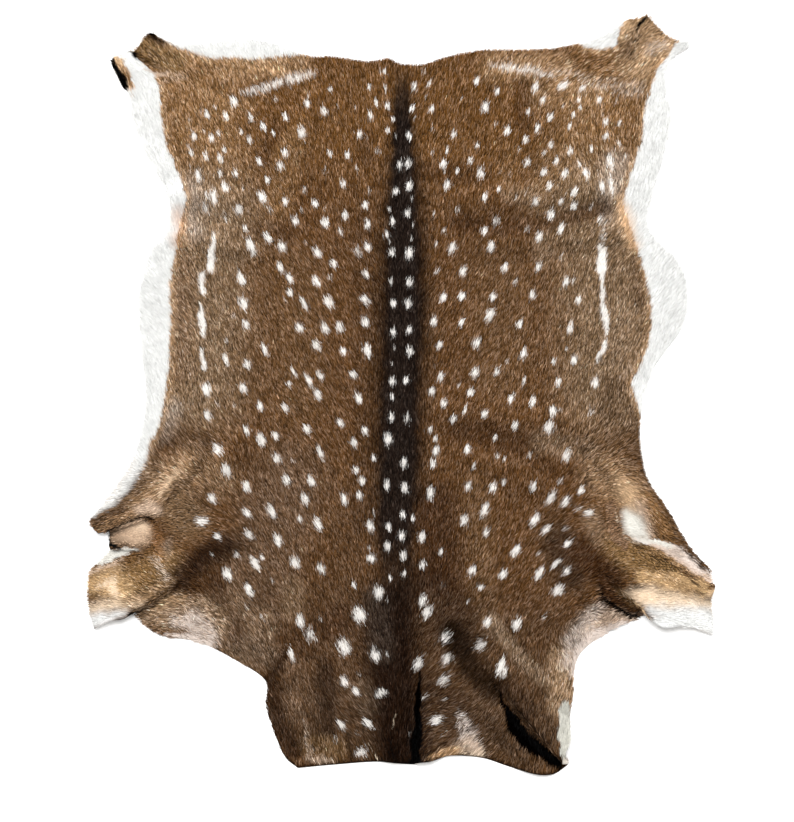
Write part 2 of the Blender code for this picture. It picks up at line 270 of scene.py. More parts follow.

# Broad shades over the coat's brown, in the order that they are laid on: a run, half its width, the colour,
# and its share in the middle of the run. Those named shade, groove or valley are painted shade, and those
# named lit or ridge are painted light, on the swells and folds of the laid skin
Patch = namedtuple("Patch", "name run half colour share")
PATCHES = [
    Patch("tail end", [(-18, 40), (18, 40)], 15, "golden", 0.9),
    Patch("left haunch", [(-29, 43), (-27.4, 34)], 10, "tan brown", 0.95),
    Patch("right haunch", [(29, 43), (25, 30)], 10, "tan brown", 0.9),
    Patch("right haunch's top", [(19.6, 42), (27, 42.6)], 3.2, "pale tan", 0.35),
    Patch("tail edge, left", [(-24, 45.4), (-14, 45.6)], 2.6, "pale tan", 0.4),
    Patch("tail edge, right", [(13, 46), (22, 46)], 3.4, "pale tan", 0.5),
    Patch("left flank", [(-27, 24.6), (-29, 19), (-29, 2)], 12, "grey brown", 1.0),
    Patch("right flank", [(26.6, 26), (29, 20), (30, 1)], 12, "grey brown", 1.0),
    Patch("left margin", [(-31.5, 21), (-31.5, 4)], 4, "rosy brown", 0.5),
    Patch("left margin, foot", [(-32, -2), (-33.4, -5.4)], 2.4, "ash", 0.4),
    Patch("left flank's top", [(-30, 28.5), (-29.4, 23.5)], 3.4, "ash", 0.45),
    Patch("right flank's top", [(30, 32), (29.8, 26.5)], 3.4, "ash", 0.45),
    Patch("right flank's foot", [(29.8, 0.8), (28.6, -2), (29.4, -5)], 3.2, "umber", 0.45),
    Patch("left middle", [(-15, 16), (-15, 0)], 7, "mid brown", 0.6),
    Patch("right middle", [(14, 18), (14, 4)], 7, "mid brown", 0.6),
    Patch("left rump", [(-16, -12), (-20, -26)], 9, "dusk brown", 0.9),
    Patch("left rump column", [(-7, -15), (-8, -30)], 4, "umber", 0.4),
    Patch("right rump column", [(10.5, -13), (11.5, -33)], 3.5, "mid brown", 0.7),
    Patch("right dark column", [(4.6, -15), (5.4, -24), (6.6, -33)], 5, "dark brown", 0.95),
    Patch("neck's root, right", [(2.4, -26.6), (6.4, -30), (8.8, -34)], 4.8, "deep brown", 0.8),
    Patch("beside the stripe, left", [(-5.2, 24), (-5.4, -18)], 2.6, "deep brown", 0.3),
    Patch("right shoulder shade", [(21.6, -20), (23.4, -25)], 4.4, "umber", 0.9),
    Patch("right shoulder shade, deep", [(22.6, -21), (24, -25)], 3.6, "deep brown", 0.5),
    Patch("lower middle", [(-20, -32), (20, -34)], 9, "umber", 0.6),
    Patch("neck's root, left", [(-19, -35), (-15, -35), (-8.4, -32)], 3.6, "dark brown", 0.5),
    Patch("left chest", [(-25, -30), (-21.6, -35)], 5, "taupe", 0.7),
    Patch("left rump, lit", [(-15, -27), (-15, -30)], 2.6, "grey brown", 0.6),
    Patch("left rump, foot", [(-8.6, -30.6), (-9.4, -33)], 2.4, "dark brown", 0.5),
    Patch("left rump, grey", [(-19, -30.6), (-18.4, -32.6)], 2.2, "taupe", 0.3),
    Patch("left neck lobe", [(-23.5, -34.5), (-19, -36.5)], 3.2, "dun", 0.9),
    Patch("neck", [(-14, -44), (19, -46)], 11, "umber", 0.95),
    Patch("neck middle", [(-1.5, -30), (-1, -40), (0, -50)], 6.5, "black brown", 1.0),
    # Painted shade on the left side of the neck's right ridge
    Patch("neck, right dark", [(7, -33), (9.5, -38), (13, -41)], 3.1, "shadow black", 0.76),
    Patch("neck, beyond the wedge", [(15.4, -41), (17.4, -44)], 2.4, "deep brown", 0.5),
    Patch("neck, right end", [(5, -41), (9, -47)], 3.6, "deep brown", 0.45),
    # Painted highlight along the neck's right ridge
    Patch("neck, right ridge", [(12.5, -31.5), (16, -36), (19.6, -39.6)], 1.6, "taupe", 0.8),
    Patch("neck, left fold", [(-15.4, -38), (-14.2, -45)], 1.8, "rosy brown", 0.35),
    Patch("neck, left rim", [(-18.4, -41), (-17.4, -46), (-15.4, -49.5)], 2.6, "deep brown", 0.75),
    Patch("neck, left column", [(-10.4, -38), (-10.2, -47)], 2.0, "black brown", 0.6),
    Patch("neck, left gold", [(-12.4, -49), (-9, -49.6)], 2.5, "mid gold", 0.45),
    # Painted light on the neck between two spots
    Patch("neck, lit between the spots", [(-5.4, -41), (-4.6, -43.6)], 2.2, "dun", 0.7),
    Patch("neck, grey", [(-3.5, -28), (-2.5, -36)], 2.6, "slate", 0.6),
    Patch("right rib shade", [(8, -5.0), (13, -5.9), (17.4, -7.2)], 3.0, "dark brown", 0.6),
    Patch("right rib shade, end", [(19, -9.6), (22, -11.2), (26, -12)], 2.2, "dark brown", 0.35),
    Patch("right rib, lit", [(19.6, -6.6), (25.4, -7.6)], 2.6, "taupe", 0.55),
    # Painted shade in the groove between the right loin's two swells
    Patch("right loin groove", [(8, 24), (14, 23.2), (20, 23.8), (25, 25.2), (29.5, 26.3)],
          2.1, "dark brown", 0.7),
    Patch("right loin, lit above", [(18.4, 27.6), (15.4, 28)], 2.2, "taupe", 0.45),
    Patch("right loin, lit below", [(19.8, 21.2), (19.8, 19.6)], 2.2, "taupe", 0.5),
    Patch("right loin, inner", [(2.4, 31.2), (9.4, 31)], 2.2, "dark brown", 0.5),
    # Painted shade in the groove between the left loin's two swells
    Patch("left loin groove", [(-21, 22.8), (-16, 22.5)], 2, "dark brown", 0.35),
    Patch("left loin, lit", [(-27, 25), (-24.6, 24.2)], 2.6, "taupe", 0.7),
    # Painted shade in the groove beside the left tail swell, and painted highlight on its ridge
    Patch("left tail groove", [(-19.3, 33), (-17.5, 37)], 1.8, "dark brown", 0.5),
    Patch("left tail ridge", [(-17, 33.5), (-13.5, 38)], 1.6, "tan brown", 0.5),
    Patch("left tail, lit", [(-14.8, 35.4), (-16, 32), (-17, 26.6)], 3, "tan brown", 0.65),
    Patch("left loin, inner", [(-4.8, 36), (-4.8, 33)], 2, "dark brown", 0.4),
    Patch("right tail, lit", [(15.4, 34), (14.6, 30)], 2.4, "tan brown", 0.35),
    Patch("right tail, gold", [(12.4, 36), (12.8, 33.6)], 2.2, "golden", 0.7),
    Patch("right tail column", [(17, 43), (17, 38)], 2, "dark brown", 0.5),
    Patch("left shoulder shade", [(-35, -5), (-30, -6.4), (-27.6, -7)], 3.0, "umber", 0.55),
    Patch("left shoulder, lit", [(-29.6, -10), (-25.6, -11.6)], 4.4, "light tan", 0.36),
    Patch("right margin shade", [(34, 17), (34, 13)], 3, "umber", 0.45),
    Patch("right margin shade, low", [(33.2, 2), (33, -8)], 3.2, "umber", 0.45),
    Patch("right margin, lit", [(30.4, 11), (30.4, 5)], 3.4, "taupe", 0.5),
    Patch("left leg, inner", [(-34, -12), (-30, -17)], 5, "grey brown", 0.8),
    Patch("left leg, lower", [(-33, -24), (-38, -26)], 4.5, "mid gold", 0.9),
    # Painted shade deep in the valley at the left leg's root
    Patch("left leg valley", [(-31, -26), (-29.2, -24), (-27.6, -22.6), (-26, -21.6), (-24.6, -21)],
          3.0, "deep brown", 0.9),
    Patch("left chest, dark", [(-26, -26.4), (-25.4, -30), (-23.4, -32.4)], 3.4, "dark brown", 0.7),
    Patch("right leg, upper", [(28, -11), (31, -13), (33.6, -14.4)], 4.6, "sand", 0.65),
    # Painted light on the right leg's root
    Patch("right leg, lit root", [(26.6, -17), (27.6, -20)], 2.4, "taupe", 0.6),
    Patch("right leg flap", [(34.5, -15), (38, -19)], 3, "tan brown", 0.9),
    Patch("right leg edge", [(33.5, -8), (35, -12), (39.4, -19.6)], 1.5, "umber", 0.8),
    Patch("right leg band", [(31, -21.5), (37, -24.5)], 4.5, "mid gold", 1.0),
    # Painted shade deep in the valley at the right leg's root
    Patch("right leg valley", [(25, -21.6), (26.8, -23.4), (29, -25.4)], 3.2, "dark brown", 1.0),
    Patch("right neck edge", [(22.4, -37), (22.4, -43)], 3.0, "light tan", 0.65),
    Patch("left stub flap", [(-36, 49), (-32, 46.5)], 3, "mid gold", 1.0),
    Patch("right stub", [(31.5, 51.5), (37, 48.5), (33.6, 46.6)], 5, "light tan", 1.0),
]

# The white margins of the belly: from which side white comes, and the line where it begins. The lines of the
# flanks run up the hide as (y, x), and those of the tail end run across it as (x, y).
Margin = namedtuple("Margin", "name axis outward line")
MARGINS = [
    Margin("left belly", "x", -1, [(-16.5, -42.3), (-15.2, -39.4), (-13.3, -37.7), (-11.0, -36.3),
                                   (-9.0, -35.5), (-7.0, -35.0), (-4.0, -33.7), (-1.2, -33.0), (3.7, -32.4),
                                   (10.3, -32.1), (15.6, -32.3), (21.5, -31.2), (23.9, -30.8), (27.2, -29.9),
                                   (30.0, -30.7), (35.0, -32.7), (39.0, -33.5), (43.3, -33.7), (44.6, -34.6),
                                   (46.3, -37.0)]),
    Margin("right belly", "x", 1, [(-4.8, 34.5), (-2.2, 33.2), (1.6, 32.1), (4.4, 33.5), (7.4, 34.6),
                                   (10.8, 34.9), (14.2, 34.6), (17.3, 33.9), (20.9, 32.8), (23.9, 31.9),
                                   (26.8, 30.8), (31.2, 32.1), (35.8, 33.6), (39.4, 33.9), (45.3, 35.5),
                                   (48.8, 38.2)]),
    Margin("left tail edge", "y", 1, [(-32.4, 49.2), (-30, 48.1), (-28, 47.1), (-20, 46.9), (-17, 47.2),
                                      (-13, 47.6)]),
    Margin("right tail edge", "y", 1, [(22.5, 50), (24, 49.4), (26, 48.6), (28, 48.3), (30, 48.6),
                                       (30.5, 51.5)]),
]

# Runs with a width of their own at each point, as (x, y, half width), over all the rest: the colour, its
# share, and how wide the edge is. Many are painted light and painted shade on the folds of the legs, stubs
# and neck, and painted black shadow deep in the tucks and creases. A mark with an edge this wide or wider
# is a haze, and any other changes from hair to hair. No mark's half width is over the reach.
Mark = namedtuple("Mark", "name run colour share soft")
HAZE = 1.5
MARK_REACH = 3.0
MARKS = [
    Mark("frost, left", [(-22.4, 42, 0.3), (-19, 43, 0.7), (-15, 44.2, 0.7), (-12, 45, 0.4)],
         "spot", 0.55, 1.4),
    Mark("frost, right", [(12.5, 46, 0.3), (15, 45.7, 0.6), (18, 45.3, 0.6), (21, 44.6, 0.4)],
         "spot", 0.55, 1.4),
    Mark("haze, left", [(-28, 42, 1.0), (-22, 40.5, 1.4), (-19, 41.5, 0.8)], "pale tan", 0.3, 1.4),
    Mark("haze, right", [(21, 45.4, 0.6), (24, 45, 0.8), (28, 43.4, 1.2), (33.2, 42.6, 1.3)],
         "ash", 0.42, 1.4),
    Mark("tail edge, left rim", [(-32, 48.6, 0.2), (-29.4, 47.6, 0.4), (-26.6, 46.6, 0.4)],
         "pale tan", 0.6, 1.4),
    Mark("tail edge, lit", [(-21, 45.6, 0.6), (-16, 45.6, 0.7)], "pale tan", 0.7, 1.4),
    Mark("flank streaks, left", [(-26.2, 22.6, 0.25), (-26.3, 20.8, 0.4), (-26.5, 19.6, 0.55),
                                 (-26.9, 17.6, 0.45)], "spot", 1.0, 0.9),
    Mark("flank streaks, left middle", [(-27.7, 16.6, 0.4), (-27.7, 14.4, 0.4)], "spot", 0.85, 0.8),
    Mark("flank streaks, left low", [(-28.1, 13, 0.15), (-27.8, 10.8, 0.4), (-27.5, 8.4, 0.3)],
         "spot", 0.95, 0.9),
    Mark("flank streak, left end", [(-27.9, 6.3, 0.2), (-27.4, 4.0, 0.35)], "spot", 0.9, 0.7),
    Mark("flank streak, right top", [(28, 25, 0.4), (28.3, 21.6, 0.5)], "spot", 0.45, 1.0),
    Mark("flank streak, right", [(28, 20.4, 0.4), (28.1, 18, 0.55), (27.9, 16.4, 0.3), (28.2, 12.8, 0.28),
                                 (28.4, 10.6, 0.45), (28.6, 8.6, 0.35)], "spot", 0.95, 0.9),
    Mark("flank streak, right low", [(28.5, 7.6, 0.25), (28, 6, 0.35), (27.5, 4.6, 0.2)], "spot", 0.9, 0.9),
    Mark("orange flank, left", [(-31.2, 25.4, 0.6), (-30.7, 23.6, 0.9), (-31.4, 21, 0.5)], "rust", 0.5, 2.4),
    Mark("flank, left, lit", [(-30.2, 22.4, 0.3), (-29.2, 19.8, 0.6)], "light tan", 0.5, 1.8),
    Mark("orange flank, right", [(30.4, 27, 0.6), (31.3, 24, 1.1), (32.3, 21, 0.6)], "peach", 0.75, 2.4),

    # White hair at the left leg's front edge, painted brighter than the belly as painted light where its
    # curl lies in shade
    Mark("left leg, white edge", [(-37.6, -9.4, 0.5), (-40, -13, 0.9), (-42.4, -15.8, 0.5)],
         "spot", 0.8, 1.5),
    Mark("left leg, band", [(-33.4, -6, 0.3), (-36, -11, 0.8), (-38.2, -14.8, 0.9), (-41.2, -17.1, 1.0),
                            (-43.2, -17.9, 0.8)], "dun", 0.6, 1.6),
    # Painted shade and painted light on the two sides of the left leg's rolled band
    Mark("left leg, band's shaded side", [(-36.2, -11.4, 0.3), (-39, -15.1, 0.4), (-42.6, -17.3, 0.5)],
         "umber", 0.8, 1.5),
    Mark("left leg, band's lit side", [(-41.6, -18.4, 0.3), (-39.4, -17.4, 0.45), (-37.4, -16.4, 0.6)],
         "sand", 0.7, 1.5),
    # Painted highlights on the left leg's ridge and the hump below it, with a lit streak
    Mark("left leg ridge", [(-37, -15.2, 0.8), (-34.8, -14.8, 1.4), (-33.4, -13.2, 1.5), (-31.8, -11.4, 1.3),
                            (-29.4, -9.6, 0.8)], "sand", 0.8, 3.0),
    Mark("left leg ridge, hump", [(-36.8, -16, 0.4), (-35.2, -15.6, 1.0), (-34, -16.1, 0.6)],
         "rose", 1.0, 1.5),
    Mark("left leg ridge, streak", [(-33.8, -13.8, 0.1), (-32.4, -12.2, 0.25), (-30.8, -10.5, 0.1)],
         "cream", 0.7, 1.5),
    Mark("left pouch", [(-39.6, -19.8, 1.1), (-36.8, -19.2, 2.0)], "pouch", 1.0, 1.5),
    Mark("left pouch, shade", [(-40, -19, 0.3), (-39.4, -20.8, 0.4), (-36.4, -21.4, 0.3),
                               (-34.8, -20.4, 0.3)], "rosy brown", 0.35, 1.8),
    Mark("left pouch, lit", [(-37.2, -18.6, 0.4), (-36, -18.4, 0.5)], "cream", 0.5, 2.2),
    Mark("left pouch, beside", [(-32.6, -20.4, 0.4), (-32.6, -22, 0.6)], "ash", 0.3, 1.6),
    Mark("left pouch, orange", [(-34.4, -18.8, 0.4), (-34, -20.4, 0.6), (-33.6, -22.2, 0.5)],
         "rust", 0.32, 1.7),
    Mark("left leg end", [(-43.8, -26.2, 1.5), (-41, -26.2, 2.2), (-38.6, -27.4, 1.4)], "wheat", 0.9, 2.8),
    Mark("left leg end, strokes", [(-42.4, -26.6, 0.5), (-40.6, -26.2, 1.1), (-39.8, -28, 0.7)],
         "cream", 0.6, 1.4),
    Mark("left leg end, upper", [(-42.6, -25, 0.3), (-40.4, -24.4, 0.5), (-38.8, -23.9, 0.3)],
         "buff", 0.55, 1.4),
    Mark("left leg end, lower", [(-43.8, -29.8, 0.5), (-40, -29.2, 0.5), (-36.4, -28.9, 0.3)],
         "cream", 0.9, 2.6),
    Mark("left leg, back lit", [(-38, -28.8, 0.5), (-35.4, -27.8, 0.8), (-33, -26.6, 0.6),
                                (-31.8, -25.8, 0.3)], "light tan", 0.8, 1.8),
    Mark("left leg back", [(-44, -31.8, 1.2), (-41, -31, 0.9), (-38.4, -30.2, 0.3)], "belly", 1.0, 2.0),
    Mark("left leg frost", [(-34.8, -22.6, 0.5), (-33.6, -24, 0.9), (-32.8, -25.4, 0.6)], "ash", 0.5, 1.4),
    Mark("left cuff", [(-43.4, -23.5, 0.4), (-41, -22.5, 0.85), (-38.8, -21.8, 0.5), (-37, -21.6, 0.25)],
         "cuff", 1.0, 0.9),
    Mark("left leg, pink rim", [(-43.8, -24.8, 0.3), (-41, -23.8, 0.35), (-39, -23.1, 0.2)],
         "rose", 0.8, 0.8),
    Mark("left leg, brown line", [(-44, -25.6, 0.1), (-41.6, -24.8, 0.1), (-39.6, -24, 0.1),
                                  (-38, -23.2, 0.1)], "dark brown", 0.5, 0.7),
    Mark("left lobe", [(-36.6, -31, 1.0), (-32.4, -30.8, 2.2), (-28.4, -30.4, 2.4), (-26.6, -32, 2.6)],
         "taupe", 0.9, 2.4),
    Mark("left lobe, swirl", [(-34.2, -29.9, 0.2), (-32.6, -29.8, 0.5), (-31.4, -30.6, 0.4)],
         "rose", 0.5, 1.5),
    Mark("left armpit", [(-31.4, -31.8, 0.5), (-29, -31.2, 1.2), (-27.8, -33, 1.8), (-27, -34.6, 1.3)],
         "pink ash", 0.35, 2.4),
    Mark("left lobe, lit", [(-35, -30.2, 0.3), (-32.8, -29, 1.1), (-30.6, -28.2, 0.6)],
         "light tan", 0.95, 1.6),
    Mark("left armpit, strokes", [(-31.4, -31.8, 0.8), (-28.8, -31.6, 1.5), (-27.6, -33.6, 2.0)],
         "pink ash", 0.5, 1.4),
    Mark("left armpit, edge", [(-32.8, -33.5, 0.3), (-29.8, -34, 0.8), (-27, -35, 0.9)],
         "pink ash", 0.7, 1.4),
    # Painted black shadow at the deepest part of the valley at the left leg's root
    Mark("left valley, deep", [(-28.6, -23.4, 0.5), (-26, -21.3, 0.4)], "shadow black", 0.5, 2.4),
    # Painted black shadow in the crease of the left leg's front tuck, with painted shade beside it
    Mark("left leg crease", [(-40.6, -18.7, 0.1), (-39, -18.1, 0.09), (-37.4, -17.4, 0.09),
                             (-36, -16.9, 0.12), (-35, -17, 0.14), (-34.4, -17.4, 0.08)], "shadow black", 1.0, 0.35),
    Mark("left leg crease, shade", [(-39.4, -17.7, 0.05), (-36, -16.9, 0.1), (-34, -17.6, 0.15),
                                    (-33.4, -19, 0.1)], "dark brown", 0.4, 1.5),
    # Painted shade along a fold of the left leg
    Mark("left leg fold", [(-33.6, -16.6, 0.15), (-33, -15.2, 0.15), (-31.4, -12.8, 0.15)],
         "dark brown", 0.8, 0.9),
    # Painted black shadow under the left pouch's edge
    Mark("left pouch edge", [(-40.6, -18.7, 0.12), (-40.9, -20, 0.3), (-40.3, -20.8, 0.25),
                             (-39.2, -21.3, 0.1)], "shadow black", 1.0, 0.35),
    # Painted shade in the crease at the left cuff's edge
    Mark("left cuff edge", [(-38.6, -22.1, 0.08), (-36.6, -21.7, 0.12), (-35.9, -22.6, 0.1)],
         "umber", 0.8, 0.5),
    # Painted black shadow in the crease of the left leg's back tuck
    Mark("left back crease", [(-35.6, -29.7, 0.06), (-34.4, -29.1, 0.03), (-33, -28.4, 0.04),
                              (-31.9, -27.7, 0.06), (-31.1, -26.8, 0.06)], "black brown", 0.85, 0.35),
    Mark("left back crease, end", [(-37.6, -30.7, 0.3), (-36.4, -30.1, 0.15), (-35.4, -29.6, 0.05)],
         "shadow black", 1.0, 0.35),

    # Painted highlight along the right leg's ridge
    Mark("right leg ridge", [(30.4, -12, 0.5), (31.8, -13.8, 1.1), (32.2, -15.2, 1.0)], "buff", 0.9, 2.8),
    Mark("right leg pocket, far side", [(33, -15.2, 0.5), (34.2, -17.4, 0.6), (34.8, -19.2, 0.5)],
         "rose", 0.8, 2.2),
    Mark("right leg pocket", [(31.6, -16.4, 0.6), (32.2, -17.6, 1.3), (32.8, -18.8, 1.4), (34, -19.6, 0.5)],
         "cuff", 1.0, 1.8),
    Mark("right front fold", [(29.4, -15.4, 0.7), (29.4, -17.6, 0.8), (29.9, -19.4, 0.8), (31.2, -21, 0.7)],
         "rosy brown", 0.9, 0.5),
    Mark("right front fold, lit", [(30, -16.6, 0.1), (30.4, -17.7, 0.15), (30.8, -18.2, 0.05)],
         "cream", 0.7, 0.5),
    Mark("right leg flap, edge", [(38.2, -18.6, 0.3), (38.6, -19.8, 0.5), (36.6, -19.8, 0.2)],
         "umber", 0.6, 1.2),
    Mark("right leg strip", [(32.6, -20, 0.15), (34.6, -20.5, 0.4), (36.6, -21.2, 0.8), (38.5, -21.9, 1.05),
                             (40.3, -23, 1.05), (41.9, -24.4, 0.85), (43.3, -25.6, 0.6)],
         "pink ash", 1.0, 0.6),
    Mark("right leg strip, white", [(32.8, -20, 0.1), (34.6, -20.4, 0.3), (37.6, -21, 0.4)],
         "cuff", 1.0, 1.2),
    Mark("right leg strip, grey", [(35, -21.3, 0.2), (37.4, -22.5, 0.3), (40, -24.3, 0.4),
                                   (42.4, -25.9, 0.4)], "sand", 0.8, 1.5),
    Mark("right leg strip, shade", [(37.6, -21.4, 0.3), (39.2, -22.1, 0.4)], "grey brown", 0.5, 1.6),
    Mark("right leg strip, curls", [(38.9, -20.9, 0.3), (40.3, -21.8, 0.6), (41.5, -22.9, 0.6),
                                    (42.6, -24.2, 0.3)], "umber", 0.8, 1.4),
    Mark("right leg strip, end", [(42.6, -25, 0.4), (43.7, -26.3, 0.4)], "rose", 0.7, 0.9),
    Mark("right leg corner", [(42.8, -27.4, 0.4), (44, -27.6, 0.6)], "buff", 1.0, 0.8),
    Mark("right leg gold", [(33.6, -25.3, 1.1), (37.6, -25.9, 1.4), (41.6, -26.9, 1.4)], "wheat", 0.7, 1.4),
    Mark("right leg gold, strokes", [(34.2, -24.9, 0.4), (37, -25.6, 0.8), (39.4, -26, 0.4)],
         "cream", 0.3, 1.2),
    Mark("right leg gold, dark", [(39.8, -27.2, 0.2), (41.4, -27.3, 0.4), (42.6, -27.6, 0.2)],
         "mid gold", 0.7, 0.9),
    Mark("right leg cream", [(31.9, -27.7, 0.7), (34.4, -28, 1.4), (37.6, -28.6, 1.2), (43.4, -29.3, 1.0)],
         "cream", 0.9, 2.0),
    Mark("right leg end", [(34.8, -29.9, 0.7), (38, -30.8, 1.5), (42.6, -31.6, 2.0), (43.8, -33, 1.0)],
         "belly", 1.0, 2.4),
    Mark("right leg end, rim", [(35.2, -31.4, 0.5), (37.6, -32, 0.9), (41, -32.6, 0.6)], "belly", 1.0, 0.8),
    Mark("right armpit, under", [(32.4, -31.1, 0.6), (29.4, -31, 1.1), (26.8, -33, 1.6)], "rose", 0.8, 1.8),
    Mark("right armpit", [(28.2, -29, 0.5), (26.6, -30.6, 1.3), (25.2, -33, 1.7), (24.2, -35.6, 1.7),
                          (23.2, -37.6, 1.0)], "ash", 0.5, 2.0),
    Mark("right armpit, strokes", [(28.2, -29, 0.5), (26.4, -31, 1.3), (24.6, -34.4, 1.7),
                                   (23.2, -37.6, 1.0)], "pink ash", 0.4, 1.4),
    Mark("right armpit, edge", [(33.2, -31.6, 0.3), (31, -32.1, 0.6), (28.8, -32.8, 0.9), (26.6, -34.2, 1.1),
                                (24.8, -36.4, 1.0), (24, -39, 0.6)], "pink ash", 0.75, 1.4),
    Mark("right front crease", [(30.5, -15.9, 0.1), (30.5, -17.6, 0.16), (31, -19.2, 0.12),
                                (32.2, -20.4, 0.12)], "rosy brown", 1.0, 0.4),
    Mark("right band top", [(32.4, -20.8, 0.08), (34.2, -21.6, 0.08), (36.4, -22.9, 0.1),
                            (38.6, -24.3, 0.12), (40.6, -25.7, 0.12), (42, -26.6, 0.1)],
         "dark brown", 0.8, 0.6),
    # Painted near-black shade at the edge of the hollow before the right leg
    Mark("right leg dark spot", [(25.7, -10.8, 0.2), (25.9, -12.6, 0.2)], "shadow black", 0.7, 1.0),
    # Painted shade deep in the right leg's back pocket, black at its lower edge, with painted light on its
    # upper side and the flap's edge
    Mark("right pocket, brown", [(28, -26.6, 0.3), (29.8, -28, 0.9), (31.8, -29.2, 0.8), (33, -30.4, 0.3)],
         "dark brown", 1.0, 0.8),
    Mark("right pocket, lit", [(30.2, -27.2, 0.2), (31.6, -28.2, 0.5), (32.6, -29.2, 0.3)],
         "mid gold", 0.8, 1.6),
    Mark("right pocket, shade", [(27.6, -26.8, 0.2), (28.6, -28.8, 0.45), (30.4, -30.3, 0.55),
                                 (33.2, -31.2, 0.3)], "deep brown", 0.9, 1.5),
    Mark("right pocket, dark", [(27.4, -26.3, 0.1), (28.1, -28, 0.25), (29.6, -29.5, 0.3),
                                (31.5, -30.7, 0.35), (33.4, -31.2, 0.25), (34.7, -31.6, 0.1)],
         "shadow black", 1.0, 1.0),
    Mark("right pocket flap", [(32.7, -28.8, 0.08), (33.3, -29.4, 0.14), (33.7, -30.2, 0.14),
                               (34.3, -31, 0.1)], "buff", 1.0, 0.25),

    Mark("left stub band", [(-39.6, 48, 0.5), (-37.8, 47.2, 0.7), (-36, 45.4, 0.8), (-34.8, 43.8, 0.8)],
         "belly", 1.0, 0.5),
    Mark("left stub strip", [(-39.7, 47.1, 0.5), (-39, 45.8, 0.7), (-38.4, 44.6, 0.55), (-37.8, 43, 0.45)],
         "sand", 1.0, 0.9),
    Mark("left stub strip, low", [(-38.7, 45.2, 0.3), (-38.1, 44, 0.35), (-37.8, 43, 0.2)],
         "tan brown", 0.8, 0.9),
    Mark("left stub strip, top", [(-39.7, 47.1, 0.5), (-39.1, 46.8, 0.4)], "buff", 0.9, 0.9),
    Mark("left stub strip, wisps", [(-37.8, 42.6, 0.3), (-37.4, 41.2, 0.3)], "sand", 0.4, 1.0),
    # Painted highlight along the left stub's curl
    Mark("left stub curl", [(-35.6, 45.4, 0.1), (-34, 44.8, 0.25), (-32.6, 45, 0.3)], "rose", 0.8, 0.8),
    Mark("left stub swirl", [(-33, 44.2, 0.4), (-31.4, 44.6, 0.6), (-30, 44.4, 0.4)], "rose", 0.5, 1.4),
    Mark("right stub wisp", [(38.2, 48, 0.5), (39.8, 49.2, 0.8)], "belly", 1.0, 0.5),
    Mark("right stub, pale", [(36.8, 48.8, 1.0), (34.8, 48.2, 1.2), (37.6, 50, 0.3)], "ash", 0.5, 1.4),
    Mark("right stub, pink", [(31.6, 51.4, 0.6), (31.4, 49.8, 0.6)], "buff", 0.5, 1.5),
    # Painted black shadow under the left stub's folded edge and in a small gap beside it
    Mark("left stub edge", [(-40.4, 46.9, 0.4), (-39.9, 45.4, 0.6), (-39.3, 44.1, 0.7), (-38.8, 43, 0.6)],
         "shadow black", 1.0, 0.3),
    Mark("left stub hole", [(-37.5, 47.8, 0.1), (-37, 47.6, 0.3)], "shadow black", 1.0, 0.2),
    # Painted shade and black shadow under the left stub's curled tip
    Mark("left stub tip", [(-35.6, 50.4, 0.3), (-34.2, 50, 0.3), (-32.8, 48.9, 0.3)],
         "deep brown", 0.95, 1.7),
    Mark("left stub tip, black", [(-35.8, 50.5, 0.15), (-34.8, 50.4, 0.25), (-33.6, 49.6, 0.15),
                                  (-32.8, 49, 0.05)], "shadow black", 0.9, 0.8),
    # Painted black shadow in the right stub's crease, and painted shade in the hollow below it
    Mark("right stub crease", [(34.1, 52.6, 0.2), (33.6, 51.8, 0.26), (33.1, 51, 0.12)], "shadow black", 1.0, 0.35),
    Mark("right stub valley", [(32.8, 50.6, 0.3), (31.9, 49.2, 0.6), (31.6, 47.6, 0.6)], "umber", 0.8, 2.2),

    # Painted shade in the crease between the neck and the left lobe
    Mark("neck, left crease", [(-19.2, -40.4, 0.2), (-17.8, -39, 0.5), (-16.7, -37.4, 0.5),
                               (-16, -35.6, 0.2)], "black brown", 0.85, 1.8),
    Mark("neck hair, left", [(-13.4, -45, 0.1), (-13.2, -47, 0.3), (-12.6, -50, 0.6)], "rose", 0.5, 1.2),
    Mark("neck hair, left low", [(-12.8, -50.6, 0.7), (-9.5, -51.3, 0.5)], "rose", 0.55, 1.4),
    Mark("neck hair, right", [(8.2, -44.8, 0.8), (9.4, -47.2, 1.4), (10.4, -49.4, 1.2)],
         "pink ash", 0.5, 1.4),
    Mark("neck hair, right lit", [(7.6, -49, 0.5), (9.6, -48.8, 1.0), (11, -50.2, 0.6)], "rose", 0.7, 1.8),
    Mark("neck hair, right low", [(3.6, -50.6, 0.3), (7.4, -49.7, 0.8)], "pale tan", 0.7, 1.2),
    Mark("neck hair, right tip", [(8, -49.8, 0.3), (11, -50.2, 0.8)], "cream", 0.45, 1.2),
    Mark("neck wisp", [(-1.4, -46.4, 0.02), (-0.9, -45.4, 0.06), (-0.6, -44.4, 0.02)], "cream", 0.9, 0.2),
    Mark("neck wisp, low", [(-3.2, -51.4, 0.04), (-3.7, -50, 0.06), (-4.4, -48.8, 0.02)], "cream", 0.9, 0.2),
    Mark("right flesh strip", [(22.9, -43.3, 0.7), (22.8, -46.4, 1.05), (23, -50, 0.8)], "flesh", 1.0, 0.4),
    # Painted black shadow deep in the neck's wedge and slit, and at the foot of the neck
    Mark("neck wedge dark", [(12.6, -39.8, 0.05), (13.9, -42.4, 0.25), (14.9, -44.6, 0.75),
                             (15.8, -46.2, 1.05), (17.4, -48.2, 1.1), (19.2, -49.7, 0.95), (21, -50.9, 0.75),
                             (22.6, -52.1, 0.4)], "shadow black", 1.0, 0.35),
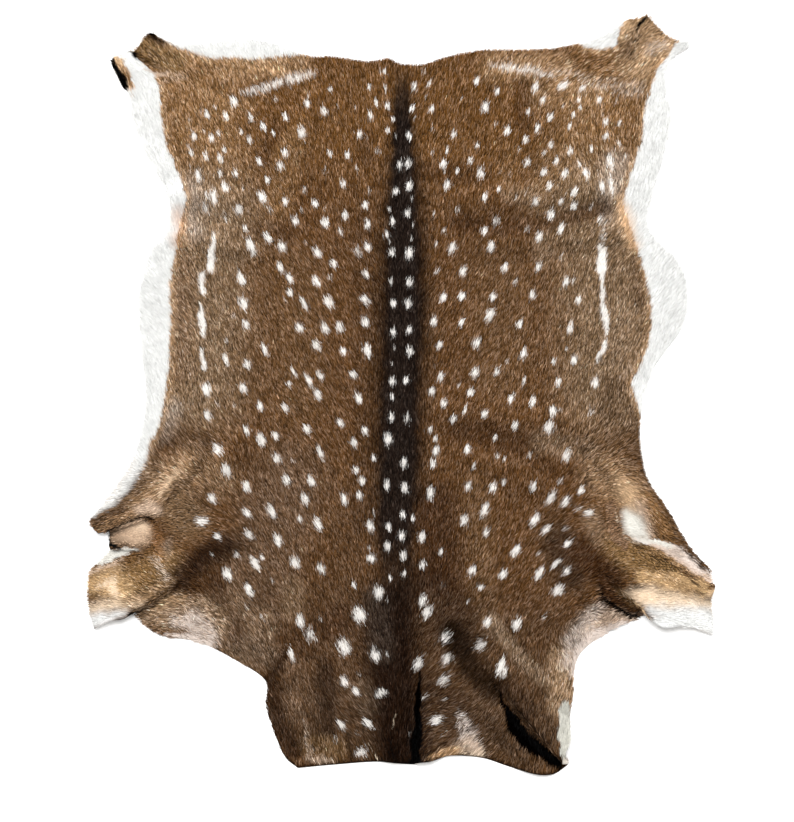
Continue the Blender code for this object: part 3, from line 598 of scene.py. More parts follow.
    Mark("neck slit dark", [(2.6, -38.8, 0.12), (2.4, -42.6, 0.35), (2.3, -46.4, 0.6), (1.9, -51.8, 0.75)],
         "shadow black", 1.0, 0.4),
    Mark("neck dark bottom", [(-1.4, -49, 0.55), (-0.8, -52, 0.9)], "shadow black", 0.7, 1.8),
    Mark("neck dark, left", [(-7.4, -47.6, 0.3), (-6.8, -51, 0.8)], "shadow black", 0.6, 1.8),
]

# The black stripe down the back: its middle and half its width at places along it, half the width of the
# shade beside it, and the shares of both
Stripe = namedtuple("Stripe", "y middle half halo share halo_share")
STRIPE = [
    Stripe(45.0, 0.2, 0.8, 1.8, 0.0, 0.3), Stripe(42.0, 0.15, 1.0, 2.2, 0.75, 0.5),
    Stripe(38.0, 0.2, 1.2, 2.4, 1.0, 0.6), Stripe(33.0, 0.3, 1.5, 3.0, 1.0, 0.7),
    Stripe(27.0, 0.3, 1.9, 3.7, 1.0, 0.85), Stripe(18.0, 0.25, 2.25, 4.4, 0.97, 0.95),
    Stripe(10.0, 0.2, 2.55, 4.8, 0.93, 0.95), Stripe(2.0, -0.1, 2.35, 4.5, 0.93, 0.95),
    Stripe(-3.5, -0.3, 2.65, 4.6, 0.97, 0.9), Stripe(-10.0, -0.4, 2.7, 4.8, 0.97, 0.85),
    Stripe(-20.0, -0.8, 2.4, 3.8, 0.92, 0.7), Stripe(-26.0, -0.7, 2.0, 3.6, 0.4, 0.5),
    Stripe(-33.0, -1.0, 2.0, 4.0, 0.1, 0.3), Stripe(-52.0, 0.0, 2.0, 4.0, 0.0, 0.2),
]

# The white spots, charted one by one: for each size its length along the hair, its width across it, how
# strongly it shows, and the places of its spots, from the tail end to the neck end
Spots = namedtuple("Spots", "name length width strength at")
SPOTS = [
    Spots("small", 1.0, 0.7, 1.0, [
        (-2.3, 45.2), (-4.4, 43.0), (-9.9, 42.7), (24.8, 41.2), (25.0, 40.2), (17.7, 39.5), (24.1, 39.2),
        (-1.1, 38.6), (23.5, 37.5), (-1.9, 37.0), (-22.4, 36.8), (-17.9, 36.7), (-25.5, 36.6), (30.5, 35.2),
        (10.6, 34.9), (26.6, 34.5), (-24.7, 34.3), (-10.0, 33.8), (19.9, 33.8), (24.9, 32.3), (7.8, 31.3),
        (13.6, 28.7), (22.3, 27.0), (27.7, 24.6), (-21.8, 23.3), (-2.0, 22.5), (21.3, 4.7), (-15.6, 1.6),
        (-1.3, -0.3), (4.1, -4.8), (13.1, -6.0), (4.7, -6.1), (-3.8, -8.8), (10.1, -10.0), (14.3, -12.2),
        (1.6, -17.3), (-14.2, -17.4), (5.5, -21.9), (-22.9, -22.3), (-19.4, -22.7), (0.4, -25.0),
        (-1.5, -25.5), (-6.6, -26.5), (11.1, -26.9),
    ]),
    Spots("small, faint", 0.85, 0.6, 0.5, [
        (-3.0, 45.2), (-12.9, 41.8), (3.4, 41.8), (8.4, 41.4), (-8.9, 40.5), (22.6, 40.5), (-6.5, 40.3),
        (-26.1, 40.2), (-28.0, 39.6), (28.2, 39.3), (1.9, 38.7), (13.2, 37.8), (-27.6, 36.8), (-0.9, 36.2),
        (-4.8, 35.9), (-29.8, 34.8), (31.3, 33.3), (6.0, 31.4), (13.8, 31.2), (15.2, 30.7), (-22.0, 28.8),
        (17.4, 28.2), (1.5, 27.5), (16.0, 27.5), (-10.7, 26.1), (-13.9, 25.8), (1.7, 23.8), (1.4, 21.8),
        (-1.6, 21.6), (-13.4, 21.3), (-23.4, 11.0), (-1.0, 6.7), (23.1, 6.5), (14.8, 4.6), (-1.3, 4.3),
        (4.7, 4.2), (8.0, 1.3), (-25.7, -1.2), (-23.3, -1.6), (22.3, -2.0), (14.4, -8.9), (-15.2, -9.2),
        (-4.6, -21.2), (19.1, -22.2), (-26.3, -22.3), (-18.0, -26.0), (5.8, -26.6), (-1.9, -28.8),
        (9.3, -28.8), (-11.3, -31.3), (-2.0, -36.3), (-5.9, -39.0), (6.0, -42.5), (5.9, -47.4), (1.3, -47.4),
        (-6.0, -47.5),
    ]),
    Spots("middling", 1.4, 1.0, 1.0, [
        (10.5, 43.9), (1.8, 43.1), (25.3, 42.9), (13.4, 42.4), (27.7, 41.4), (19.7, 41.2), (-13.1, 40.7),
        (-1.9, 40.5), (1.5, 40.1), (4.2, 40.0), (-27.1, 39.2), (-4.3, 39.1), (-24.5, 39.0), (-21.0, 38.9),
        (-16.2, 38.9), (20.8, 38.8), (28.6, 38.2), (-19.3, 37.6), (7.3, 36.5), (-5.8, 36.4), (-28.9, 36.2),
        (1.1, 36.2), (28.6, 36.2), (-26.5, 36.0), (-21.2, 35.7), (17.4, 35.7), (20.9, 35.0), (23.6, 34.1),
        (-7.5, 33.6), (-27.3, 33.4), (-25.3, 33.1), (-19.8, 32.7), (9.6, 32.7), (21.6, 32.7), (17.6, 32.5),
        (0.9, 32.4), (-0.2, 32.2), (19.9, 31.2), (-25.3, 31.0), (-23.2, 31.0), (-18.7, 30.0), (-8.1, 29.5),
        (-0.8, 28.4), (11.6, 27.6), (-16.2, 27.1), (18.7, 27.0), (-12.0, 26.8), (-5.0, 26.5), (24.1, 26.5),
        (0.9, 25.4), (-7.9, 25.1), (-14.8, 24.4), (-1.2, 24.3), (-4.7, 23.8), (11.6, 22.9), (-4.7, 20.7),
        (-1.3, 19.9), (-9.4, 18.3), (19.2, 18.0), (14.5, 17.8), (-4.9, 16.9), (-15.5, 14.3), (18.3, 13.9),
        (8.5, 13.8), (12.8, 13.7), (5.8, 13.6), (24.7, 13.3), (-1.1, 12.8), (4.6, 10.3), (8.4, 10.2),
        (-21.7, 9.9), (16.5, 9.9), (1.1, 9.1), (-1.1, 8.8), (5.4, 7.0), (-8.1, 6.1), (24.1, 4.9),
        (-21.5, 4.3), (13.3, 3.2), (-6.6, 2.9), (-11.3, 2.7), (5.5, 2.5), (0.6, 2.0), (-1.3, 1.9),
        (22.0, 1.8), (4.3, 0.5), (9.7, 0.4), (15.3, -0.5), (5.9, -1.2), (-19.8, -1.5), (-16.2, -1.7),
        (11.6, -2.7), (-1.4, -3.1), (7.2, -3.4), (-8.5, -3.9), (15.8, -4.3), (-21.6, -4.9), (-5.1, -5.0),
        (-17.6, -5.7), (-6.6, -6.7), (9.2, -7.6), (4.4, -9.5), (-6.3, -10.5), (-5.5, -12.0), (9.4, -12.7),
        (25.1, -13.3), (-5.8, -14.0), (26.2, -16.4), (0.3, -16.8), (-1.7, -18.4), (11.8, -19.2),
        (-25.7, -19.7), (23.2, -20.8), (3.0, -23.8), (23.1, -24.6), (14.4, -38.8), (-6.2, -41.4),
    ]),
    Spots("middling, faint", 1.3, 0.95, 0.5, [
        (3.2, 45.3), (-17.5, 41.3), (4.3, 37.2), (-3.3, 34.1), (4.4, 33.9), (-10.7, 31.5), (-13.6, 28.6),
        (-4.5, 28.5), (-1.7, 25.9), (7.8, 25.9), (-18.3, 25.8), (17.6, 23.2), (5.9, 22.9), (-8.5, 22.8),
        (4.9, 17.3), (-9.9, 16.5), (-1.4, 15.9), (15.9, 15.9), (-24.4, 7.5), (18.0, -8.4), (13.4, -8.5),
        (22.2, -12.0), (22.8, -18.6), (-19.3, -31.0), (3.2, -42.2), (-9.2, -48.2),
    ]),
    Spots("fairly large", 1.7, 1.2, 1.0, [
        (18.7, 43.0), (-10.8, 39.7), (14.8, 36.9), (-16.2, 33.8), (5.9, 32.3), (-16.9, 32.0), (22.9, 31.0),
        (6.4, 29.3), (1.1, 29.2), (20.6, 29.2), (-24.6, 29.1), (24.1, 28.3), (-22.7, 25.9), (20.9, 25.3),
        (-10.6, 24.1), (19.2, 22.0), (-16.7, 20.8), (12.5, 20.7), (7.1, 20.6), (-11.7, 19.9), (8.6, 17.3),
        (-11.8, 15.9), (1.1, 15.8), (-5.0, 13.3), (1.0, 12.8), (-5.0, 10.2), (-8.6, 9.5), (-14.2, 9.4),
        (-10.7, 9.4), (10.5, 7.3), (-11.8, 6.9), (1.2, 6.1), (10.3, 3.1), (27.1, 1.7), (-22.1, 1.0),
        (-11.6, 0.0), (-6.0, -0.4), (21.2, -2.2), (-13.2, -4.7), (-17.4, -8.9), (0.4, -9.4), (-16.0, -11.9),
        (-12.5, -12.0), (-21.6, -12.9), (12.8, -12.9), (0.5, -13.0), (-26.4, -14.4), (-13.5, -14.5),
        (8.8, -17.5), (-4.3, -18.3), (0.1, -19.7), (2.9, -19.8), (-1.9, -21.1), (0.3, -22.4), (-4.2, -22.8),
        (-11.2, -24.3), (9.9, -24.5), (14.2, -25.0), (3.0, -28.7), (12.0, -31.7), (-7.9, -40.1),
        (-4.6, -45.9), (-8.3, -46.1),
    ]),
    Spots("large", 2.1, 1.4, 1.0, [
        (22.6, 43.3), (-23.4, 41.0), (11.7, 40.3), (-13.9, 36.6), (11.1, 31.0), (-19.4, 27.6), (1.1, 19.8),
        (-10.1, 13.0), (-22.0, 12.8), (12.4, 11.2), (-27.2, 0.8), (20.6, -4.5), (-19.6, -6.2), (-1.8, -6.2),
        (-25.6, -7.6), (-24.4, -10.5), (-27.9, -17.6), (-14.8, -23.4), (-24.3, -25.0), (21.9, -27.3),
        (-3.2, -27.6), (3.6, -30.3), (-14.1, -31.5), (16.1, -32.0), (-3.6, -36.3), (2.3, -37.6),
        (4.8, -45.3),
    ]),
    Spots("large, faint", 1.9, 1.4, 0.55, [
        (-27.0, 27.6), (-27.3, 26.0), (13.3, 24.3), (-6.1, 20.1), (0.8, -3.3),
    ]),
    Spots("largest", 2.6, 1.9, 1.0, [
        (-5.8, -30.7), (-8.0, -35.2),
    ]),
    Spots("largest, faint", 2.4, 1.9, 0.6, [
        (-12.7, -33.4), (6.1, -33.9), (11, -34.9), (6.3, -36.9), (5.8, -39.8),
    ]),
    Spots("thin", 1.6, 0.6, 0.85, [
        (3.9, 43.6), (-2.2, 42.8), (-3.5, 41.0), (30.5, 38.0), (6.4, 34.2), (-29.3, 33.8), (-15.0, 3.2),
        (17.2, 2.0), (8.8, -2.2),
    ]),
    Spots("thin, faint", 1.6, 0.6, 0.45, [
        (30.0, 41.0), (-29.5, 38.3), (16.4, 34.2), (-29.5, 31.8), (-6.2, 31.6), (26.5, 26.4), (4.6, 25.3),
        (4.8, 21.0), (22.3, 19.1), (24.0, 16.0), (-16.3, 13.4), (-3.9, -16.4), (-21.7, -29.5), (20.0, -31.0),
        (8.6, -44.6),
    ]),
    Spots("thin and long", 2.4, 0.8, 0.95, [
        (19.0, 37.3), (-13.6, 12.8), (-19.1, 6.4), (-24.5, 5.0), (-12.9, 2.0), (-11.3, -8.0), (21.5, -23.6),
        (-15.3, -36.3),
    ]),
    Spots("oval", 1.85, 0.95, 1.0, [
        (28.0, 29.0), (22.3, 23.2), (-18.6, 22.0), (-16.9, 17.8), (-15.6, 16.4), (23.0, 15.8), (23.6, 9.4),
        (17.1, 5.8), (18.4, -0.9), (-27.1, -2.8), (4.8, -7.9), (-2.0, -12.6), (18.4, -12.8), (-8.0, -14.5),
        (-21.5, -16.5), (20.1, -18.8), (-21.3, -19.4),
    ]),
    Spots("oval, faint", 1.7, 0.9, 0.5, [
        (-24.6, 24.8), (26.5, -2.4), (24.6, -15.9),
    ]),
    Spots("long oval", 2.3, 1.15, 1.0, [
        (25.8, 31.0), (-28.3, 30.8), (-22.4, 16.3), (-4.7, 6.2), (23.1, -8.4), (4.1, -13.7), (20.9, -14.3),
        (22.9, -14.9), (11.6, -16.0), (-18.1, -16.2), (18.6, -17.5), (-11.6, -18.0), (-17.2, -20.4),
        (16.0, -21.8), (-20.4, -23.5), (19.3, -24.9), (-21.3, -27.3),
    ]),
    Spots("longest oval", 3.0, 1.2, 1.0, [
        (29.2, 32.8), (-26.1, 27.6), (-21.0, 20.7), (13.9, -38.0),
    ]),
    Spots("wide", 1.3, 2.2, 0.8, [
        (-2.8, -41.7), (-5.6, -49.9),
    ]),
    Spots("streak", 4.0, 0.85, 0.85, [
        (29.3, 29.3),
    ]),
]

# Spots beyond this place along the hide, or this near to its middle, are smaller by this factor
TAIL_FROM = 27.0
SPINE_HALF = 2.2
SMALLER = 0.88

# Where a colour begins to fade, and over how much more it is gone, as parts of its half width
PATCH_FADE = (0.2, 0.8)
HALO_FADE = (0.4, 0.8)
STRIPE_FADE = (0.6, 0.7)
SPOT_FADE = (0.1, 1.3)
# How much a hair's own sway moves the edge of a spot, and how far outside a spot its white may still show
SPOT_SWAY = 0.2
SPOT_REACH = 0.5

# The belly's margins: how far each holds past the ends of its line, how wide the edge of the white is, and
# how white the line itself is. Then the tan beside it: its share, how far before the line, and half its
# width.
MARGIN_SPARE = 0.5
WHITE_EDGE = 0.9
WHITE_AT_LINE = 0.4
TAN_SHARE = 0.5
TAN_AT = 0.2
TAN_HALF = 1.0

# The ragged edges of the stripe, the marks and the margins: how far they stray, and the size of the rags
RAG = 0.3
RAG_SIZE = 1.1

# The skin's colour as a part of the coat's over it, dark as painted shade between the hairs, and what is
# added to that part under pale hair
SKIN_SHADE = 0.15
SKIN_PALE = 0.8

# Hair roots stand on an uneven net, this much of its step to either side, and this far inside the outline
ROOT_JITTER = 0.8
ROOT_INSIDE = 1.0
# They lie this high, just under the hair side of the flat skin. No hair goes lower than the least height,
# and none grows where the skin's upward side faces less upward than this
ROOT_HEIGHT = 2.0
LEAST_HEIGHT = 0.3
LEAST_UP = 0.1
# Hair is shorter by up to this in the marks of painted black shadow, whose edges are this wide
GAP_SHORTER = 0.45
GAP_EDGE = 0.4

# How far hair strays from the lie of the coat: waves, as degrees, size and seed, waves in ruffled places, as
# size and seed, and how much each hair strays alone, in degrees
WAVES = ((6.0, 2.4, 21), (5.0, 0.9, 22))
RUFFLE_WAVES = ((0.9, 23), (0.5, 24))
HAIR_STRAY = 8.0

# Locks, wisps of hair, and the wisps that take a colour together: their size, their width over their length,
# and their seed. The pull is how far a hair leans over to the middle of its lock.
Locks = namedtuple("Locks", "size narrow seed")
LOCKS = Locks(0.36, 0.5, 31)
WISPS = Locks(0.12, 0.33, 32)
TAKERS = Locks(0.2, 0.33, 33)
LOCK_PULL = 0.5

# The shape of a hair: the part of it below its bend, the part of its lock's pull that it has there, and the
# part of its lift that is left past the bend
BEND_AT = 0.45
BEND_PULL = 0.4
LAID_LIFT = 0.3
# The ranges of its length and width, as factors, and of its lift, in radians
LENGTHS = (0.75, 1.2)
WIDTHS = (0.7, 1.3)
LIFTS = (0.1, 1.2)
# How much its lift varies by itself and with its lock, as parts of it, and how far it rolls, in radians
LIFT_SPREAD = 0.3
LOCK_LIFT = 0.2
ROLL = 0.5
# Its colour is the coat's at this part of the way from its bend to its tip, give or take, in centimetres
COLOUR_AT = 0.15
COLOUR_SPREAD = 0.04
# How far a tip may reach past the outline, and the least part of it that is kept
TIP_SPARE = 2.0
LEAST_TIP = 0.1

# How the tone varies, as powers of e: from hair to hair, from wisp to wisp, from lock to lock, and in
# clouds with their size and seed. The mean keeps the whole coat as dark as its colours, and pale hair
# varies less by this part.
HAIR_VARIES = 0.38
WISP_VARIES = 0.84
LOCK_VARIES = 0.28
CLOUDS = ((0.12, 0.8, 41), (0.08, 3.0, 42))
VARY_MEAN = -0.13
PALE_EVEN = 0.9
# Each hair's draw: the part that its wisp gives it, on both sides of the middle, and its own part
WISP_DRAW = 0.15
OWN_DRAW = 0.7
# Light hairs turn grey by this much, in this tint
GREYING = 0.45
GREY_TINT = (1.12, 1.0, 0.88)
# The root's colour as a part of the middle's, darker partly as the hair's own base and partly as painted
# shade deep in the coat, what even hair adds to it, and how soon hair is even
ROOT_PART = (0.2, 0.15, 0.1)
EVEN_ROOT = (0.75, 0.79, 0.83)
EVENNESS = 1.5
# The middle of dark hair against its own colour, the mean and spread of the tip's lightness as powers of e,
# partly the hair's own light tips and partly painted sheen, the frost on the tips, the draws that it comes
# from, and the brightness at which it is whole. No part of a hair is brighter than the last number.
DARK_MIDDLE = 0.78
TIP_LIGHT_AND_SHEEN = (0.36, 0.38)
FROST = (0.075, 0.059, 0.04)
FROST_DRAW = (-1.5, 1.2)
FROST_WHOLE = 0.05
BRIGHTEST = 0.93

# The studio: the floor and its finish, the lamp's width and place, the light from all round, and where the
# camera stands over the rug
FLOOR_COLOUR = (0.96, 0.96, 0.96, 1.0)
FLOOR_ROUGHNESS = 0.9
LAMP_WIDTH = 3.2
LAMP_PLACE = (-0.3, 2.0, 5.3)
ROOM_LIGHT = 0.64
SENSOR = 36.0
CAMERA_PLACE = (-0.007, -0.0231)

COAT_PIECES = ["coat_neck", "coat_shoulders", "coat_ribs", "coat_loin", "coat_tail_end"]


class SkinSizes(bpy.types.PropertyGroup):
    thickness: bpy.props.FloatProperty(
        name="Thickness", description="How thick the tanned skin is", default=0.0024, min=0.001, max=0.004,
        unit="LENGTH")
    net: bpy.props.FloatProperty(
        name="Net", description="The distance between the skin's mesh points", default=0.009, min=0.006,
        max=0.03, unit="LENGTH")
    inset: bpy.props.FloatProperty(
        name="Inset", description="How far the skin ends inside the coat's outline", default=0.0015, min=0.0,
        max=0.01, unit="LENGTH")


class CoatSizes(bpy.types.PropertyGroup):
    hairs: bpy.props.IntProperty(
        name="Hairs", description="How many hairs the whole coat has", default=460000, min=10000, max=470000)
    length: bpy.props.FloatProperty(
        name="Length", description="The length of a hair on the back", default=0.0098, min=0.005, max=0.04,
        unit="LENGTH")
    width: bpy.props.FloatProperty(
        name="Width", description="The width of a hair's blade", default=0.00085, min=0.0003, max=0.003,
        unit="LENGTH")
    lift: bpy.props.FloatProperty(
        name="Lift", description="The angle at which a hair leaves the skin", default=math.radians(34),
        min=0.0, max=math.radians(80), unit="ROTATION")


class CoatColours(bpy.types.PropertyGroup):
    back: bpy.props.FloatVectorProperty(
        name="Back", description="The brown of the back", default=srgb(102, 73, 46), subtype="COLOR", min=0,
        max=1)
    stripe: bpy.props.FloatVectorProperty(
        name="Stripe", description="The stripe down the spine", default=srgb(36, 29, 29), subtype="COLOR",
        min=0, max=1)
    spot: bpy.props.FloatVectorProperty(
        name="Spots", description="The white spots", default=srgb(228, 224, 219), subtype="COLOR", min=0,
        max=1)
    belly: bpy.props.FloatVectorProperty(
        name="Belly", description="The white margins of the belly", default=srgb(217, 217, 215),
        subtype="COLOR", min=0, max=1)


class StudioSettings(bpy.types.PropertyGroup):
    floor: bpy.props.FloatProperty(
        name="Floor", description="The width of the floor", default=9.0, min=2.0, max=30.0, unit="LENGTH")
    camera_height: bpy.props.FloatProperty(
        name="Camera height", description="How high over the rug the camera stands", default=3.2, min=1.0,
        max=10.0, unit="LENGTH")
    view: bpy.props.FloatProperty(
        name="View", description="The height of floor that the picture takes in", default=1.1508, min=0.5,
        max=4.0, unit="LENGTH")
    light: bpy.props.FloatProperty(
        name="Light", description="The power of the large lamp overhead", default=500.0, min=0.0, max=2000.0,
        unit="POWER")


def smoothstep(value):
    """0 below 0, 1 above 1, and smooth between."""
    value = np.clip(value, 0.0, 1.0)
    return value * value * (3.0 - 2.0 * value)


def faded(away, start, width):
    """1 up to a start, then smoothly down to 0 over a width."""
    return 1.0 - smoothstep((away - start) / width)


def edged(outside, soft):
    """1 well inside a run, a half at its rim and 0 well outside, over an edge this soft."""
    return 1.0 - smoothstep(outside / soft + 0.5)


def unit(vectors):
    """The same vectors with length 1."""
    return vectors / np.maximum(np.sqrt((vectors * vectors) @ np.ones(vectors.shape[1])), 1e-9)[:, None]


def outside_run(places, run):
    """How far each place lies outside a run with a half width at each point, and less than 0 inside it."""
    nearest = np.full(len(places), np.inf)
    for (ax, ay, a_half), (bx, by, b_half) in zip(run, run[1:]):
        way_x, way_y = bx - ax, by - ay
        x, y = places[:, 0] - ax, places[:, 1] - ay
        along = np.clip((x * way_x + y * way_y) / max(way_x ** 2 + way_y ** 2, 1e-9), 0.0, 1.0)
        away = np.hypot(x - along * way_x, y - along * way_y)
        nearest = np.minimum(nearest, away - a_half - along * (b_half - a_half))
    return nearest


def distance_to_run(places, run):
    """How far each place lies from a run of straight stretches."""
    return outside_run(places, [(x, y, 0.0) for x, y in run])


def near_run(places, run, reach):
    """Which places lie in the box round a run, with some reach to spare."""
    xs, ys = [point[0] for point in run], [point[1] for point in run]
    x, y = places[:, 0], places[:, 1]
    beside = (x > min(xs) - reach) & (x < max(xs) + reach)
    return np.flatnonzero(beside & (y > min(ys) - reach) & (y < max(ys) + reach))


def noise(places, size, seed, side=256, start=1000.0):
    """Smooth noise from -1 to 1, with bumps about size across. A side is how many bumps it has before it
    repeats, and start is how many of them lie before the origin."""
    lattice = np.random.default_rng(seed).uniform(-1.0, 1.0, (side, side))
    cells = places / size + start
    corner = np.floor(cells).astype(int)
    part = smoothstep(cells - corner)
    x, y = corner[:, 0] % side, corner[:, 1] % side
    next_x, next_y = (x + 1) % side, (y + 1) % side
    low = lattice[x, y] * (1 - part[:, 0]) + lattice[next_x, y] * part[:, 0]
    high = lattice[x, next_y] * (1 - part[:, 0]) + lattice[next_x, next_y] * part[:, 0]
    return low * (1 - part[:, 1]) + high * part[:, 1]


def curve_through(points):
    """A smooth curve through the points of one stretch, as short chords."""
    ends = [points[0], *points, points[-1]]
    chords = []
    for before, a, b, after in zip(ends, ends[1:], ends[2:], ends[3:]):
        leave = (b - before).normalized()
        arrive = (after - a).normalized()
        pull = (b - a).length / 3.0
        handles = a, a + leave * pull, b - arrive * pull, b
        for step in range(CURVE_STEPS):
            t = step / CURVE_STEPS
            weights = (1 - t) ** 3, 3 * t * (1 - t) ** 2, 3 * t * t * (1 - t), t ** 3
            chords.append(sum((w * h for w, h in zip(weights, handles)), Vector((0.0, 0.0))))
    return chords


def outline_points():
    """The outline as evenly spaced points."""
    curve = [point for stretch in OUTLINE.values() for point in curve_through([Vector(p) for p in stretch])]
    rim = [curve[0]]
    for point in curve[1:]:
        if (point - rim[-1]).length >= RIM_STEP and (point - rim[0]).length >= CLOSING_GAP:
            rim.append(point)
    return np.array(rim)


class Field:
    """How far a place lies inside the outline, in millimetres, and less than 0 outside it."""

    def __init__(self, rim):
        self.low = rim.min(axis=0) - FIELD_BORDER
        counts = np.ceil((rim.max(axis=0) + FIELD_BORDER - self.low) / FIELD_STEP).astype(int) + 1
        xs = self.low[0] + FIELD_STEP * np.arange(counts[0])
        ys = self.low[1] + FIELD_STEP * np.arange(counts[1])
        places = np.stack(np.meshgrid(xs, ys, indexing="ij"), axis=-1).reshape(-1, 2)
        away = distance_to_run(places, [*rim, rim[0]])
        x, y = places.T
        within = np.zeros(len(places), bool)
        for a, b in zip(rim, np.roll(rim, -1, axis=0)):
            if a[1] != b[1]:
                crosses = (a[1] > y) != (b[1] > y)
                within ^= crosses & (x < a[0] + (y - a[1]) * (b[0] - a[0]) / (b[1] - a[1]))
        self.depth = np.where(within, away, -away).reshape(counts)

    def __call__(self, places):
        just_inside = np.array(self.depth.shape) - 1.001
        cells = np.clip((places - self.low) / FIELD_STEP, 0, just_inside)
        x, y = np.floor(cells).astype(int).T
        u, v = (cells - np.floor(cells)).T
        near = self.depth[x, y] * (1 - u) + self.depth[x + 1, y] * u
        far = self.depth[x, y + 1] * (1 - u) + self.depth[x + 1, y + 1] * u
        return near * (1 - v) + far * v

    def inward(self, places):
        """Unit vectors that point straight in from the outline."""
        steps = np.eye(2) * FIELD_STEP
        slopes = [self(places + step) - self(places - step) for step in steps]
        return unit(np.stack(slopes, axis=1))


def tuck_frame(tuck):
    """A tuck's end at the rim, its run inland, and the way across it, plus towards its lower layer."""
    rim = np.array(tuck.rim, float)
    run = np.array(tuck.inland, float) - rim
    left = np.array((-run[1], run[0])) / np.linalg.norm(run)
    return rim, run, left * (-1.0 if tuck.upper == "left" else 1.0)


def laid(places):
    """Where places of the flat sheet come to lie: on the floor and how high, in millimetres."""
    height = np.zeros(len(places))
    shift = np.zeros((len(places), 2))
    for swell in SWELLS:
        away = distance_to_run(places, [swell.start, swell.end]) / swell.half
        height = np.maximum(height, swell.height * (1.0 - smoothstep(away)))
    for curl in CURLS:
        away = np.minimum(np.linalg.norm(places - curl.at, axis=1) / curl.radius, 1.0)
        height = np.maximum(height, curl.height * (1.0 - away) ** 2 * (1.0 + 2.0 * away))
    for tuck in TUCKS:
        rim, run, lower = tuck_frame(tuck)
        along = (places - rim) @ run / (run @ run)
        across = (places - rim) @ lower
        near = (np.abs(along) < 1.0) & (across > -tuck.rise) & (across < tuck.half)
        fades = np.where(near, smoothstep(1.0 - np.abs(along)), 0.0)
        rise = smoothstep((across + tuck.rise) / (tuck.rise - tuck.half / 2))
        drop = smoothstep(0.5 - across / tuck.half)
        slope = np.maximum(height, fades * tuck.height * rise * drop)
        turn = height * (1.0 - fades) + fades * tuck.height * drop
        height = np.where(near, np.where(across < -tuck.half / 2, slope, turn), height)
        slide = fades * tuck.reach * np.sin(math.pi * across / tuck.half) * (np.abs(across) < tuck.half)
        shift -= slide[:, None] * lower
    return np.column_stack((places + shift, height))


def laid_normals(places, step=0.5):
    """The upward side of the laid sheet at places of the flat one, from places a step to either side."""
    east, north = (laid(places + way) - laid(places - way) for way in np.eye(2) * step)
    return unit(np.cross(east, north))


@lru_cache
def hide_field():
    """The outline's points, and how far places lie inside it."""
    rim = outline_points()
    return rim, Field(rim)


@lru_cache
def centre_shift():
    """What brings the laid outline over the origin, in millimetres."""
    lying = laid(outline_points())[:, :2]
    return -(lying.min(axis=0) + lying.max(axis=0)) / 2


def new_mesh(name, verts, faces):
    """A smooth mesh object of triangles, made from arrays."""
    mesh = bpy.data.meshes.new(name)
    mesh.vertices.add(len(verts))
    mesh.vertices.foreach_set("co", np.ascontiguousarray(verts, np.float32).ravel())
    mesh.loops.add(3 * len(faces))
    mesh.loops.foreach_set("vertex_index", np.ascontiguousarray(faces, np.int32).ravel())
    mesh.polygons.add(len(faces))
    mesh.polygons.foreach_set("loop_start", np.arange(0, 3 * len(faces), 3, dtype=np.int32))
    mesh.update(calc_edges=True)
    mesh.validate()
    mesh.shade_smooth()
    piece = bpy.data.objects.new(name, mesh)
    bpy.context.scene.collection.objects.link(piece)
    return piece


def paint(piece, colours):
    """The coat's colours, one for each point of the mesh."""
    layer = piece.data.color_attributes.new("coat", "FLOAT_COLOR", "POINT")
    rows = np.ones((len(colours), 4), np.float32)
    rows[:, :3] = colours
    layer.data.foreach_set("color", rows.ravel())


def lay_out(piece, places):
    """A texture map laid out by each point's own place, scaled to the unit square."""
    low, high = places.min(axis=0), places.max(axis=0)
    layer = piece.data.uv_layers.new(name="OFBake")
    corners = np.empty(len(piece.data.loops), np.int32)
    piece.data.loops.foreach_get("vertex_index", corners)
    spread = (places - low) / (high - low) * (1.0 - 2.0 * MAP_EDGE) + MAP_EDGE
    layer.uv.foreach_set("vector", np.ascontiguousarray(spread[corners], np.float32).ravel())


def palette(colours):
    """Every named colour of the coat, as one hair has it."""
    shades = {name: np.array(colour) for name, colour in SHADES.items()}
    shades["back"] = np.array(colours.back)
    shades["stripe"] = np.array(colours.stripe)
    for colour in shades.values():
        colour *= DARK_SHARE + (np.array(PALE_SHARE) - DARK_SHARE) * paleness(colour)
    shades["spot"] = np.array(colours.spot)
    shades["belly"] = np.array(colours.belly)
    return shades


def hair_headings(places):
    """Unit vectors along which the hair lies, for places in centimetres."""
    headings = np.zeros((len(places), 2))
    for x, y, degrees in LIE:
        weight = 1.0 / ((places[:, 0] - x) ** 2 + (places[:, 1] - y) ** 2 + LIE_SOFTNESS) ** 2
        headings[:, 0] += weight * math.sin(math.radians(degrees))
        headings[:, 1] += weight * math.cos(math.radians(degrees))
    return unit(headings)


def paleness(colour):
    """0 for the browns of the coat, 1 for cream and white."""
    return smoothstep((np.mean(colour, axis=-1) - PALE_FROM) / PALE_RANGE)


def mix(colour, other, share):
    """Colour with its share of the other laid over it."""
    return colour + (other - colour) * share[:, None]


def drawn(share, draw, gain=1.7):
    """The share as single hairs have it: each takes nearly all or nothing of it, by its draw from 0 to 1."""
    return np.clip((share - draw) * gain + share, 0.0, 1.0)


def lay_patches(colour, places, shades):
    """Lays the broad shades over the coat's colour."""
    for patch in PATCHES:
        near = near_run(places, patch.run, patch.half)
        away = distance_to_run(places[near], patch.run) / patch.half
        colour[near] = mix(colour[near], shades[patch.colour], patch.share * faded(away, *PATCH_FADE))


def lay_marks(colour, places, shades, draw):
    """Lays the local marks over the coat's colour."""
    for mark in MARKS:
        near = near_run(places, mark.run, MARK_REACH + mark.soft)
        share = mark.share * edged(outside_run(places[near], mark.run), mark.soft)
        if mark.soft < HAZE:
            share = drawn(share, draw[near])
        colour[near] = mix(colour[near], shades[mark.colour], share)


